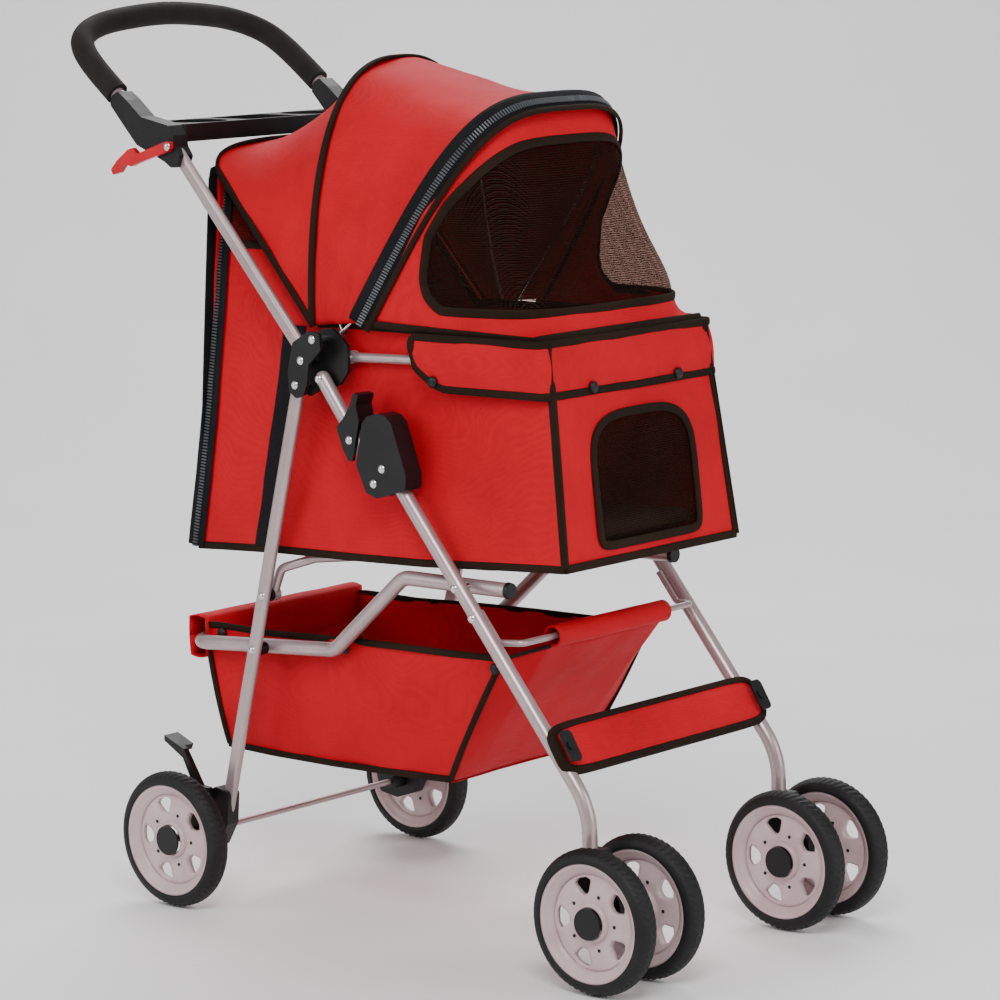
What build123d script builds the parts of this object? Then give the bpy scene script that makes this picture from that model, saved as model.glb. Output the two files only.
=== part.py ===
from build123d import *
import math
import os

# Overall sizes of the open stroller, in mm. The front is -Y, up is +Z.
overall_length = 860.0
overall_width = 422.0
overall_height = 977.0
wheel_radius = 75.0

# Tube sizes
leg_tube = 16.0
flat_tube_wide = 16.5
flat_tube_thick = 9.0
seat_tube = 16.0
rail_tube = 10.0
bar_tube = 7.0
wall = 1.2
grip_diameter = 26.0

# Small parts
tyre_width = 26.0
pin_radius = 3.0
running_gap = 0.05
plate = 4.0
cloth = 2.0
rivet_head = 4.6

# Lateral positions, measured from the middle
leg_x = overall_width / 2 - 52.0
twin_offset = 39.0
wheel_x = leg_x + twin_offset
seat_x = leg_x - 23.5
rail_x = leg_x - 22.5
floor_x = leg_x - 15.0
outer_plate_x = leg_x + leg_tube / 2 + 0.4
inner_plate_x = leg_x - leg_tube / 2 - 0.4 - plate

front_axle_y = -(overall_length / 2 - wheel_radius)
length_share = (overall_length - wheel_radius) / 785.0
height_share = (overall_height - wheel_radius) / 902.0
width_share = leg_x / 159.0

os.makedirs("parts", exist_ok=True)


def along(station):
    # station is the distance behind the front axle in the 860 mm long frame
    return front_axle_y + station * length_share


def rise(height):
    # height is above the floor in the 977 mm high frame
    return wheel_radius + (height - 75.0) * height_share


def spot(x, station, height):
    return Vector(x, along(station), rise(height))


def side_plane(x):
    # sketch plane of a flat side part: local x runs to the rear, local y up
    return Plane(origin=(x, 0, 0), x_dir=(0, 1, 0), z_dir=(1, 0, 0))


def outline(pairs):
    return [(along(s), rise(h)) for s, h in pairs]


def save(piece, label):
    piece.part.label = label
    export_step(piece.part, "parts/" + label + ".step")


def round_tube(points, diameter, bend=0.0, hollow=True):
    with BuildPart() as tube:
        with BuildLine() as path:
            if bend:
                FilletPolyline(*points, radius=bend)
            else:
                Polyline(*points)
        with BuildSketch(Plane(origin=path.line @ 0, z_dir=path.line % 0)):
            Circle(diameter / 2)
            if hollow:
                Circle(diameter / 2 - wall, mode=Mode.SUBTRACT)
        sweep(path=path.line)
    return tube


def flat_tube(points, bend=0.0):
    # a flattened tube lying in a side plane, its wide way in that plane
    with BuildPart() as tube:
        with BuildLine() as path:
            if bend:
                FilletPolyline(*points, radius=bend)
            else:
                Polyline(*points)
        start = path.line % 0
        across = start.cross(Vector(1, 0, 0))
        with BuildSketch(Plane(origin=path.line @ 0, x_dir=across, z_dir=start)):
            SlotOverall(flat_tube_wide, flat_tube_thick)
            SlotOverall(flat_tube_wide - 2 * wall, flat_tube_thick - 2 * wall, mode=Mode.SUBTRACT)
        sweep(path=path.line)
    return tube


def side_plate(x_start, thickness, pairs, corner=4.0):
    with BuildPart() as piece:
        with BuildSketch(side_plane(x_start)) as face:
            with BuildLine():
                Polyline(*outline(pairs), close=True)
            make_face()
            if corner:
                fillet(face.vertices(), corner)
        extrude(amount=thickness)
    return piece


def pin_x(x_low, x_high, station, height, radius):
    # a round pin or hole along the width of the stroller
    middle = Location(((x_low + x_high) / 2, along(station), rise(height)), (0, 90, 0))
    return Cylinder(radius, x_high - x_low, mode=Mode.PRIVATE).moved(middle)


def rivet_x(x_face, outward, station, height, shank, radius=rivet_head):
    # a domed rivet head on a side face with its shank running inwards
    ball_radius = radius * 1.25
    depth = math.sqrt(ball_radius ** 2 - radius ** 2)
    here = Location((x_face, along(station), rise(height)), (0, 90 * outward, 0))
    ball = Sphere(ball_radius, mode=Mode.PRIVATE).moved(Location((0, 0, -depth)))
    lower = Box(40, 40, 40, mode=Mode.PRIVATE).moved(Location((0, 0, -20)))
    stem = Cylinder(pin_radius, shank, mode=Mode.PRIVATE).moved(Location((0, 0, -shank / 2)))
    return (ball - lower + stem).moved(here)


# ---------------------------------------------------------------- wheels
# The same moulded wheel is used six times: a foam tyre on a five-spoke hub.
hub_radius = wheel_radius - 13.0
well_radius = wheel_radius * 0.64
boss_radius = wheel_radius * 0.25
axle_radius = 4.0


def tyre(x, y, label):
    with BuildPart() as ring:
        with BuildSketch(Plane(origin=(x, y, wheel_radius), x_dir=(1, 0, 0), z_dir=(0, -1, 0))) as face:
            with Locations((0, (hub_radius + wheel_radius) / 2)):
                RectangleRounded(tyre_width, wheel_radius - hub_radius, 5.0)
        turn = Axis((x, y, wheel_radius), (1, 0, 0))
        revolve(axis=turn)
    save(ring, label)


def hub(x, y, outward, label):
    with BuildPart() as rim:
        with BuildSketch(side_plane(x - tyre_width / 2 + 1.5)) as ring:
            with Locations((y, wheel_radius)):
                Circle(hub_radius - 0.05)
                Circle(hub_radius - 4.5, mode=Mode.SUBTRACT)
        extrude(amount=tyre_width - 3)
        with BuildSketch(side_plane(x + outward * 5.0)) as disc:
            with Locations((y, wheel_radius)):
                Circle(hub_radius - 4.5)
        extrude(amount=outward * 4.0)
        with BuildSketch(side_plane(x + outward * 5.0)) as windows:
            with Locations((y, wheel_radius)):
                with PolarLocations(0, 5, start_angle=18):
                    with BuildLine(mode=Mode.PRIVATE) as gap:
                        inner, outer = boss_radius * 1.75, well_radius
                        Polyline((inner, -7), (outer * 0.90, -18), (outer, -9), (outer, 9),
                                 (outer * 0.90, 18), (inner, 7), close=True)
                    add(make_face(gap.edges(), mode=Mode.PRIVATE))
        extrude(amount=outward * 4.0, mode=Mode.SUBTRACT)
        with BuildSketch(side_plane(x - tyre_width / 2 + 3)) as boss:
            with Locations((y, wheel_radius)):
                Circle(boss_radius)
        extrude(amount=tyre_width - 6)
        with BuildSketch(side_plane(x - tyre_width / 2)) as bore:
            with Locations((y, wheel_radius)):
                Circle(axle_radius + running_gap)
        extrude(amount=tyre_width, mode=Mode.SUBTRACT)
    save(rim, label)


def wheel(x, y, outward, name):
    tyre(x, y, "tyre_" + name)
    hub(x, y, outward, "hub_" + name)


rear_axle_y = along(592)
wheel(-wheel_x, rear_axle_y, -1, "rear_right")
wheel(wheel_x, rear_axle_y, 1, "rear_left")
for side, word in ((-1, "right"), (1, "left")):
    wheel(side * (leg_x + twin_offset), front_axle_y, side, "front_" + word + "_outer")
    wheel(side * (leg_x - twin_offset), front_axle_y, -side, "front_" + word + "_inner")


def axle_cap(x_face, outward, y):
    # a pressed cap: a short drum with a domed face
    drum = Cylinder(boss_radius * 0.86, 2.5, mode=Mode.PRIVATE)
    return drum.moved(Location((x_face + outward * 1.25, y, wheel_radius), (0, 90, 0)))


def front_axle(side, word):
    reach = twin_offset + tyre_width / 2 - 2.7
    with BuildPart() as rod:
        with Locations(Location((side * leg_x, front_axle_y, wheel_radius), (0, 90, 0))):
            Cylinder(axle_radius, 2 * reach)
        add(axle_cap(side * leg_x + reach, 1, front_axle_y))
        add(axle_cap(side * leg_x - reach, -1, front_axle_y))
    save(rod, "front_axle_" + word)


front_axle(-1, "right")
front_axle(1, "left")

# ---------------------------------------------------------------- casters
swivel_station = 36.5
fork_half = twin_offset - tyre_width / 2 - 1.5
fork_top = rise(137)


def caster_fork(side, word):
    x = side * leg_x
    thick = 2 * fork_half * 0.62
    with BuildPart() as fork:
        with BuildSketch(side_plane(x - thick / 2)) as body:
            with BuildLine():
                top = fork_top - 0.4
                Polyline((front_axle_y - 15, wheel_radius - 3), (front_axle_y - 6, wheel_radius - 14),
                         (front_axle_y + 12, wheel_radius - 11), (along(swivel_station) + 15, top - 22),
                         (along(swivel_station) + 15, top), (along(swivel_station) - 15, top),
                         (along(swivel_station) - 19, top - 12), (front_axle_y - 13, wheel_radius + 18),
                         close=True)
            make_face()
            fillet(body.vertices(), 4)
        extrude(amount=thick)
        with Locations(Location((x, front_axle_y, wheel_radius), (0, 90, 0))):
            Cylinder(boss_radius * 0.7, 2 * fork_half)
            Cylinder(axle_radius, 2 * fork_half, mode=Mode.SUBTRACT)
        with Locations((x, along(swivel_station), top - 24)):
            Cylinder(5.0, 34.0, align=(Align.CENTER, Align.CENTER, Align.MIN))
    save(fork, "caster_fork_" + word)


caster_fork(-1, "right")
caster_fork(1, "left")

# ---------------------------------------------------------------- lower front legs
knee = (311.0, 487.0)
link_top = (390.0, 591.0)
leg_head = (303.0, 508.6)
seat_joint = (206.5, 386.4)
bar_rivet = (183.5, 357.8)
step_rivet = (70.0, 235.1)


def front_leg(side, word):
    x = side * leg_x
    points = [spot(x, *leg_head), spot(x, swivel_station, 178.2), spot(x, swivel_station, 137.0)]
    with BuildPart() as leg:
        with BuildLine() as path:
            FilletPolyline(*points, radius=80)
        with BuildSketch(Plane(origin=path.line @ 0, z_dir=path.line % 0)):
            Circle(leg_tube / 2)
            Circle(5.0 + running_gap, mode=Mode.SUBTRACT)
        sweep(path=path.line)
    save(leg, "front_leg_" + word)


front_leg(-1, "right")
front_leg(1, "left")

# The knee housing is two cheeks and a front web; the upper link swings out of its open rear side.
cheek = [(303, 561), (318, 557), (325, 549), (334, 505), (321, 477), (306, 472),
         (266, 484), (265, 500), (284, 552), (292, 559)]
web = [(303, 561), (292, 559), (284, 552), (265, 500), (266, 484), (270, 483),
       (269.5, 499), (288, 549.5), (294, 555), (303, 557)]


def knee_housing(side, word):
    outer = side * outer_plate_x
    inner = side * (inner_plate_x + plate)
    with BuildPart() as shell:
        with BuildSketch(side_plane(outer)) as face:
            with BuildLine():
                Polyline(*outline(cheek), close=True)
            make_face()
            fillet(face.vertices(), 3.5)
        extrude(amount=side * plate)
        with BuildSketch(side_plane(inner)) as back:
            with BuildLine():
                Polyline(*outline(cheek), close=True)
            make_face()
            fillet(back.vertices(), 3.5)
        extrude(amount=-side * plate)
        with BuildSketch(side_plane(inner)) as rib:
            with BuildLine():
                Polyline(*outline(web), close=True)
            make_face()
        extrude(amount=side * (leg_tube + 0.8))
    save(shell, "knee_housing_" + word)


knee_housing(-1, "right")
knee_housing(1, "left")


def front_rivets():
    with BuildPart() as group:
        for side in (-1, 1):
            face = side * (outer_plate_x + plate)
            add(rivet_x(face, side, *knee, shank=leg_tube + 2 * plate + 0.8))
            add(rivet_x(face, side, 299.0, 512.0 - 8.5, shank=leg_tube + plate))
            skin = side * (leg_x + leg_tube / 2 - 0.35)
            add(rivet_x(skin, side, *seat_joint, shank=leg_tube + 6.6))
            add(rivet_x(skin, side, *bar_rivet, shank=leg_tube + 3.0))
    save(group, "front_rivets")


front_rivets()

# ---------------------------------------------------------------- basket front bar and foot rest
bar_x = leg_x - leg_tube / 2 - 3.6


def basket_bar():
    points = [spot(-bar_x, 187, 362), spot(-bar_x, 163, 332), spot(-bar_x + 8, 138, 333),
              spot(bar_x - 8, 138, 333), spot(bar_x, 163, 332), spot(bar_x, 187, 362)]
    bar = round_tube(points, 7.0, bend=7.5)
    save(bar, "basket_bar")


basket_bar()


def foot_rest():
    # a padded strip across both legs; its plane leans with the legs
    low, high = spot(0, 58.0, 212.0), spot(0, 84.0, 254.5)
    up = (high - low).normalized()
    out = Vector(1, 0, 0).cross(up)
    centre = (low + high) * 0.5 - out * 0 + Vector(0, 0, 0)
    shift = -(leg_tube / 2 + 1.6)
    with BuildPart() as strip:
        with BuildSketch(Plane(origin=centre + out * (-shift if out.Y < 0 else shift), x_dir=(1, 0, 0), z_dir=out)):
            RectangleRounded(2 * leg_x + 22, (high - low).length, 12)
        extrude(amount=2.6, both=True)
    save(strip, "foot_rest")
    return out if out.Y < 0 else -out


step_normal = foot_rest()


def foot_rest_clips():
    with BuildPart() as clips:
        for side in (-1, 1):
            here = spot(side * leg_x, 71.0, 233.2) + step_normal * (leg_tube / 2 + 1.6 + 2.7)
            with BuildSketch(Plane(origin=here, x_dir=(1, 0, 0), z_dir=step_normal)):
                RectangleRounded(18, 34, 6)
            extrude(amount=1.6)
            with BuildSketch(Plane(origin=here, x_dir=(1, 0, 0), z_dir=step_normal)):
                Circle(5.0)
            extrude(amount=3.2)
    save(clips, "foot_rest_clips")


foot_rest_clips()

# ---------------------------------------------------------------- upper links and latches


def upper_link(side):
    x = side * leg_x
    with BuildPart() as link:
        with BuildLine() as path:
            Line(spot(x, *link_top), spot(x, *knee))
        with BuildSketch(Plane(origin=path.line @ 0, z_dir=path.line % 0)):
            Circle(leg_tube / 2)
        sweep(path=path.line)
        with Locations(spot(x, *link_top), spot(x, *knee)):
            Sphere(leg_tube / 2)
        for place in (link_top, knee):
            add(pin_x(x - 12, x + 12, *place, pin_radius + running_gap), mode=Mode.SUBTRACT)
    return link.part


def save_pair(right, left, label):
    with BuildPart() as pair:
        add(right)
        add(left)
    save(pair, label)


save_pair(upper_link(-1), upper_link(1), "upper_links")

latch_pivot = (344.0, 530.4)
lever_cheek = [(361, 543), (351, 553), (344, 563), (339.5, 572), (337, 580), (329, 578.5),
               (333, 568), (329, 551), (339, 508.5), (345, 508.5), (353, 521)]
lever_web = [(337, 580), (329, 578.5), (333, 568), (329, 551), (333, 552), (337.5, 568)]


def latch_lever(side, word):
    outer = side * outer_plate_x
    inner = side * (inner_plate_x + plate)
    with BuildPart() as lever:
        for start, way in ((outer, side), (inner, -side)):
            with BuildSketch(side_plane(start)) as face:
                with BuildLine():
                    Polyline(*outline(lever_cheek), close=True)
                make_face()
                fillet(face.vertices(), 1.8)
            extrude(amount=way * plate)
        with BuildSketch(side_plane(inner)):
            with BuildLine():
                Polyline(*outline(lever_web), close=True)
            make_face()
        extrude(amount=side * (leg_tube + 0.8))
        low, high = sorted((side * (inner_plate_x - 1), side * (outer_plate_x + plate + 1)))
        add(pin_x(low, high, *latch_pivot, pin_radius + running_gap), mode=Mode.SUBTRACT)
    save(lever, "latch_lever_" + word)


latch_lever(-1, "right")
latch_lever(1, "left")


def latch_pins():
    with BuildPart() as group:
        for side in (-1, 1):
            face = side * (outer_plate_x + plate + 0.1)
            add(rivet_x(face, side, *latch_pivot, shank=leg_tube + 2 * plate + 0.9))
    save(group, "latch_pins")


latch_pins()

# ---------------------------------------------------------------- rear frame
bracket = [(421, 628), (399, 641), (383, 640), (381, 622), (399, 606), (402, 585), (407, 573),
           (418, 569), (428, 576), (429, 598)]
bracket_inner = [(423, 628), (399, 641), (383, 643), (362, 626), (362, 599), (374, 584), (384, 580),
                 (397, 580), (418, 569), (428, 576), (429, 598)]
leg_rivet_high = (484.0, 350.0)
leg_rivet_low = (501.0, 289.0)


leg_top = (424.0, 585.0)
leg_foot = (549.5, 101.0)
handle_low = (412.0, 611.5)
handle_high = (596.0, 822.0)


def rear_leg(side):
    x = side * leg_x
    return flat_tube([spot(x, *leg_top), spot(x, *leg_foot)]).part


def handle_tube(side):
    x = side * leg_x
    return flat_tube([spot(x, *handle_low), spot(x, *handle_high)]).part


save_pair(rear_leg(-1), rear_leg(1), "rear_legs")
save_pair(handle_tube(-1), handle_tube(1), "handle_tubes")


def side_bracket(side):
    # outer cheek over the tube ends and a deeper inner cheek that carries the rail and the link
    with BuildPart() as piece:
        with BuildSketch(side_plane(side * (leg_x + leg_tube / 2 + 0.4))) as face:
            with BuildLine():
                Polyline(*outline(bracket), close=True)
            make_face()
            fillet(face.vertices(), 3)
        extrude(amount=side * plate)
        with BuildSketch(side_plane(side * (leg_x - leg_tube / 2 - 0.4))) as back:
            with BuildLine():
                Polyline(*outline(bracket_inner), close=True)
            make_face()
            fillet(back.vertices(), 3)
        extrude(amount=-side * plate)
        with BuildSketch(side_plane(side * (leg_x - leg_tube / 2 - 0.4))) as spine:
            with BuildLine():
                Polyline(*outline([(423, 597), (423, 605), (426.5, 608), (428, 604), (428.5, 597)]), close=True)
            make_face()
        extrude(amount=side * (leg_tube + 0.8))
    return piece.part


save_pair(side_bracket(-1), side_bracket(1), "side_brackets")


def pivot_spacers():
    with BuildPart() as group:
        for side in (-1, 1):
            for place, inner in ((leg_rivet_high, floor_x + 5.2), (leg_rivet_low, seat_x + seat_tube / 2 + 0.2)):
                low, high = sorted((side * inner, side * (leg_x - flat_tube_thick / 2 - 0.05)))
                ring = pin_x(low, high, *place, 7.0) - pin_x(low - 1, high + 1, *place, pin_radius)
                add(ring)
    save(group, "pivot_spacers")


pivot_spacers()


def rear_crossbar():
    half = leg_x - 26.0
    with BuildPart() as bar:
        with Locations(Location((0, along(574), rise(80.6)), (0, 90, 0))):
            Cylinder(bar_tube / 2, 2 * half + 8)
    save(bar, "rear_crossbar")


rear_crossbar()

housing_side = [(538, 128), (541, 92), (556, 66), (580, 58), (606, 62), (612, 84), (602, 99), (575, 104), (561, 132)]


def rear_housing(side):
    x_low = side * (leg_x - flat_tube_thick / 2 - 4)
    with BuildPart() as block:
        with BuildSketch(side_plane(x_low)) as face:
            with BuildLine():
                Polyline(*outline(housing_side), close=True)
            make_face()
            fillet(face.vertices(), 5)
        extrude(amount=side * (flat_tube_thick + 8))
        with BuildSketch(side_plane(side * (leg_x - 28))):
            with Locations((along(574), rise(80.6))):
                Circle(9)
        extrude(amount=side * 21)
        with BuildSketch(side_plane(side * (leg_x - 28.5))):
            with Locations((along(574), rise(80.6))):
                Circle(bar_tube / 2 + 0.02)
        extrude(amount=side * 12, mode=Mode.SUBTRACT)
        # pocket for the leg tube
        run = spot(0, *leg_foot) - spot(0, *leg_top)
        foot = spot(side * leg_x, *leg_foot)
        pocket = Plane(origin=foot, x_dir=run.cross(Vector(1, 0, 0)), z_dir=-run)
        with BuildSketch(pocket):
            SlotOverall(flat_tube_wide + 0.1, flat_tube_thick + 0.1)
        extrude(amount=80, mode=Mode.SUBTRACT)
        with Locations(Location((side * (leg_x + 4), rear_axle_y, wheel_radius), (0, 90, 0))):
            Cylinder(axle_radius, 60, mode=Mode.SUBTRACT)
    return block.part


save_pair(rear_housing(-1), rear_housing(1), "rear_housings")


def rear_axles():
    with BuildPart() as rods:
        for side in (-1, 1):
            inner, outer = leg_x - 8, wheel_x + tyre_width / 2 - 2.7
            low, high = sorted((side * inner, side * outer))
            with Locations(Location(((low + high) / 2, rear_axle_y, wheel_radius), (0, 90, 0))):
                Cylinder(axle_radius, high - low)
            add(axle_cap(side * outer, side, rear_axle_y))
            ring_low, ring_high = sorted((side * (leg_x + 9.0), side * (wheel_x - tyre_width / 2 + 2.7)))
            add(pin_x(ring_low, ring_high, 592, 75, 7.5))
    save(rods, "rear_axles")


rear_axles()

brake_pivot = (568.0, 124.0)


def brake_lever(side, word):
    # foot pedal behind each rear wheel; it turns on a pin through two ears of the housing side
    x = side * (leg_x + flat_tube_thick / 2 + 4)
    with BuildPart() as lever:
        with BuildSketch(side_plane(x + side * 0.4)) as face:
            with BuildLine():
                Polyline(*outline([(560, 119), (575, 112), (600, 160), (628, 176), (628, 182), (598, 170),
                                   (574, 132), (562, 131)]), close=True)
            make_face()
            fillet(face.vertices(), 2)
        extrude(amount=side * 7)
        with BuildSketch(side_plane(x - side * 14)) as pedal:
            with BuildLine():
                Polyline(*outline([(607, 165.5), (628, 176), (628, 182), (604, 172)]), close=True)
            make_face()
        extrude(amount=side * 21.4)
        low, high = sorted((x - side, x + side * 9))
        add(pin_x(low, high, *brake_pivot, pin_radius + running_gap), mode=Mode.SUBTRACT)
    save(lever, "brake_lever_" + word)


brake_lever(-1, "right")
brake_lever(1, "left")

# ---------------------------------------------------------------- handle and parent tray
handle_points = [(159, 662, 863.5), (159, 688, 884), (157.5, 722, 911), (146, 752, 936),
                 (112, 768, 952), (60, 771.5, 960.5), (0, 772, 964)]


def handle_path():
    right = [spot(-x * width_share, s, h) for x, s, h in handle_points]
    left = [spot(x * width_share, s, h) for x, s, h in reversed(handle_points[:-1])]
    start = (spot(0, 688, 884) - spot(0, 662, 863.5)).normalized()
    return Spline(*right, *left, tangents=(start, -start), mode=Mode.PRIVATE)


def swept_ring(path, outer, inner):
    with BuildPart() as ring:
        with BuildLine():
            add(path)
        with BuildSketch(Plane(origin=path @ 0, z_dir=path % 0)):
            Circle(outer)
            Circle(inner, mode=Mode.SUBTRACT)
        sweep(path=path)
    return ring


bar_line = handle_path()
handle_bar = swept_ring(bar_line, 8.0, 8.0 - wall)
save(handle_bar, "handle_bar")

with BuildPart() as handle_grip:
    add(swept_ring(bar_line, grip_diameter / 2, 8.05))
    here = spot(0, 686.5, 882.5)
    away = (spot(0, 688, 884) - spot(0, 662, 863.5)).normalized()
    with BuildSketch(Plane(origin=here, x_dir=(1, 0, 0), z_dir=away)):
        Rectangle(3 * leg_x, 260)
    extrude(amount=-120, mode=Mode.SUBTRACT)
save(handle_grip, "handle_grip")

arm_side = [(583, 818), (588, 806), (597, 806), (606, 812), (648, 829), (664, 846), (687, 871),
            (684, 881), (675, 886), (662, 877), (640, 859), (600, 851), (592, 840), (590, 828)]
tray_front = 598.0
tray_back = 672.0


def tray_arm(side):
    run = (spot(0, *handle_high) - spot(0, *handle_low)).normalized()
    neck = spot(side * leg_x, *handle_high)
    tilt = (spot(0, 688, 884) - spot(0, 662, 863.5)).normalized()
    mouth = spot(side * 159 * width_share, 662, 863.5)
    with BuildPart() as arm:
        with BuildSketch(side_plane(side * (leg_x - 10.5))) as face:
            with BuildLine():
                Polyline(*outline(arm_side), close=True)
            make_face()
            fillet(face.vertices(), 3)
        extrude(amount=side * 21)
        pocket = Plane(origin=neck, x_dir=run.cross(Vector(1, 0, 0)), z_dir=-run)
        with BuildSketch(pocket):
            SlotOverall(flat_tube_wide + 0.1, flat_tube_thick + 0.1)
        extrude(amount=60, mode=Mode.SUBTRACT)
        with BuildSketch(Plane(origin=mouth, z_dir=tilt)):
            Circle(8.05)
        extrude(amount=60, mode=Mode.SUBTRACT)
    return arm.part


def parent_tray():
    half = leg_x - 10.5
    with BuildPart() as tray:
        add(tray_arm(-1))
        add(tray_arm(1))
        low, high = rise(832), rise(851)
        middle = (along(tray_front) + along(tray_back)) / 2
        deep = along(tray_back) - along(tray_front)
        with BuildSketch(Plane.XY.offset(low)):
            with Locations((0, middle)):
                RectangleRounded(2 * half, deep, 8)
        extrude(amount=high - low)
        with BuildSketch(Plane.XY.offset(low + 3)):
            with Locations((-half * 0.60, middle), (half * 0.60, middle)):
                Circle(deep / 2 - 4)
            with Locations((0, middle)):
                RectangleRounded(half * 0.55, deep - 10, 8)
        extrude(amount=high - low, mode=Mode.SUBTRACT)
    save(tray, "parent_tray")


parent_tray()

hook_pivot = (595.0, 829.0)
hook_side = [(591, 834), (598, 834), (640, 820), (648, 826), (655, 824), (672, 812), (682, 802),
             (679, 796), (668, 799), (660, 808), (650, 806), (636, 811), (594, 823.5), (590, 827)]


def storage_hook():
    x = -(leg_x + 10.5 + 1.0)
    with BuildPart() as hook:
        with BuildSketch(side_plane(x)) as face:
            with BuildLine():
                Polyline(*outline(hook_side), close=True)
            make_face()
            fillet(face.vertices(), 1.4)
        extrude(amount=-6)
        add(pin_x(x - 7, x + 1, *hook_pivot, pin_radius + running_gap), mode=Mode.SUBTRACT)
    save(hook, "storage_hook")


storage_hook()

# ---------------------------------------------------------------- seat frame under the cabin
seat_run = [(160, 385), (303, 384.5), (404, 296), (618, 282)]


def seat_frame():
    right = [spot(-seat_x, s, h) for s, h in seat_run]
    left = [spot(seat_x, s, h) for s, h in reversed(seat_run)]
    with BuildPart() as frame:
        add(round_tube(right + left, seat_tube, bend=24))
        for side in (-1, 1):
            low, high = sorted((side * (seat_x - 12), side * (seat_x + 12)))
            add(pin_x(low, high, *leg_rivet_low, pin_radius + running_gap), mode=Mode.SUBTRACT)
    save(frame, "seat_frame")


seat_frame()

with BuildPart() as seat_frame_caps:
    for side in (-1, 1):
        with BuildSketch(Plane(origin=spot(side * seat_x, 159.8, 385), x_dir=(1, 0, 0), z_dir=(0, -1, 0))):
            Circle(seat_tube / 2 + 0.8)
        extrude(amount=5, taper=8)
save(seat_frame_caps, "seat_frame_caps")

# ---------------------------------------------------------------- floor
floor_front = (78.0, 415.0)
floor_back = (594.0, 394.0)


def floor_height(station):
    share = (station - floor_front[0]) / (floor_back[0] - floor_front[0])
    return floor_front[1] + share * (floor_back[1] - floor_front[1])


def floor_sheet(front, back, half_front, half_back, lift, thickness):
    low, high = spot(0, back, floor_height(back)), spot(0, front, floor_height(front))
    toward = (low - high).normalized()
    up = Vector(1, 0, 0).cross(toward)
    base = high + up * lift
    with BuildPart() as sheet:
        with BuildSketch(Plane(origin=base, x_dir=(1, 0, 0), z_dir=up)):
            length = (low - high).length
            with BuildLine():
                Polyline((-half_front, 0), (half_front, 0), (half_back, length), (-half_back, length), close=True)
            make_face()
        extrude(amount=thickness)
    return sheet


floor_inner = 110.0 * width_share


def floor_support():
    side_run = [(floor_x, 483.2, 353.0), (floor_x, 472, 379), (floor_x - 16, 437, 391),
                (floor_inner, 395, 394.5), (floor_inner, 195, 403)]
    right = [spot(-x, s, h) for x, s, h in side_run]
    left = [spot(x, s, h) for x, s, h in reversed(side_run)]
    with BuildPart() as support:
        add(round_tube(right + left, rail_tube, bend=12))
        for side in (-1, 1):
            low, high = sorted((side * (floor_x - 4.5), side * (floor_x + 4.5)))
            add(pin_x(low, high, *leg_rivet_high, 7.0))
            add(pin_x(low - 1, high + 1, *leg_rivet_high, pin_radius + running_gap), mode=Mode.SUBTRACT)
    save(support, "floor_support")


floor_support()
board_half = 122.0 * width_share
save(floor_sheet(98, 572, board_half, board_half, cloth + 0.4, 4.0), "floor_board")

# ---------------------------------------------------------------- side rails and cabin
rail_pivot = (368.0, 612.5)
rail_end = (192.0, 617.0)


def side_rail(side):
    x = side * rail_x
    with BuildPart() as rail:
        with BuildLine() as path:
            Line(spot(x, *rail_pivot), spot(x, *rail_end))
        with BuildSketch(Plane(origin=path.line @ 0, z_dir=path.line % 0)):
            Circle(rail_tube / 2)
        sweep(path=path.line)
        low, high = x - 4.8, x + 4.8
        add(pin_x(low, high, *rail_pivot, 7.0))
        add(pin_x(low - 1, high + 1, *rail_pivot, pin_radius + running_gap), mode=Mode.SUBTRACT)
    return rail.part


save_pair(side_rail(-1), side_rail(1), "side_rails")

hood_pivot = (386.0, 634.0)
hood_pin = 2.5


panel_low = 144.0 * width_share
panel_lean = 0.062


def panel_x(height):
    # outer face of the cabin side at a height
    return panel_low - panel_lean * (rise(height) - rise(400))


cabin_side_outline = [(78, 415), (594, 394), (577, 554), (566, 700), (560, 796), (551, 803),
                      (424, 643), (400, 645), (108, 641)]


def cabin_side(side):
    angle = math.atan(panel_lean)
    low = rise(400)
    plane = Plane(origin=(side * panel_low, 0, low), x_dir=(0, 1, 0),
                  z_dir=(math.cos(angle), 0, side * math.sin(angle)))
    corners = [(along(s), (rise(h) - low) / math.cos(angle)) for s, h in cabin_side_outline]
    with BuildPart() as panel:
        with BuildSketch(plane):
            with BuildLine():
                Polyline(*corners, close=True)
            make_face()
        extrude(amount=-side * cloth)
    return panel.part


save_pair(cabin_side(-1), cabin_side(1), "cabin_sides")

inset = cloth + 0.6
floor_half = panel_x(421) - inset
save(floor_sheet(82, 589, floor_half, floor_half, 0.2, cloth), "cabin_floor")

panel_foot = spot(0, 78, 415)
panel_head = spot(0, 108, 641)
panel_up = (panel_head - panel_foot).normalized()
panel_out = panel_up.cross(Vector(1, 0, 0))
panel_out = panel_out if panel_out.Y < 0 else -panel_out
panel_height = (panel_head - panel_foot).length
window_half = 84.0 * width_share


def window_face(grow):
    half, low, high = window_half + grow, 14.0 - grow, panel_height * 0.645 + grow
    with BuildLine() as edge:
        Polyline((-half * 0.98, low), (half * 0.98, low), (half, high - 62), (half * 0.93, high - 28),
                 (half * 0.70, high - 6), (half * 0.45, high), (-half * 0.45, high),
                 (-half * 0.70, high - 6), (-half * 0.93, high - 28), (-half, high - 62), close=True)
    return edge


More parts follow.
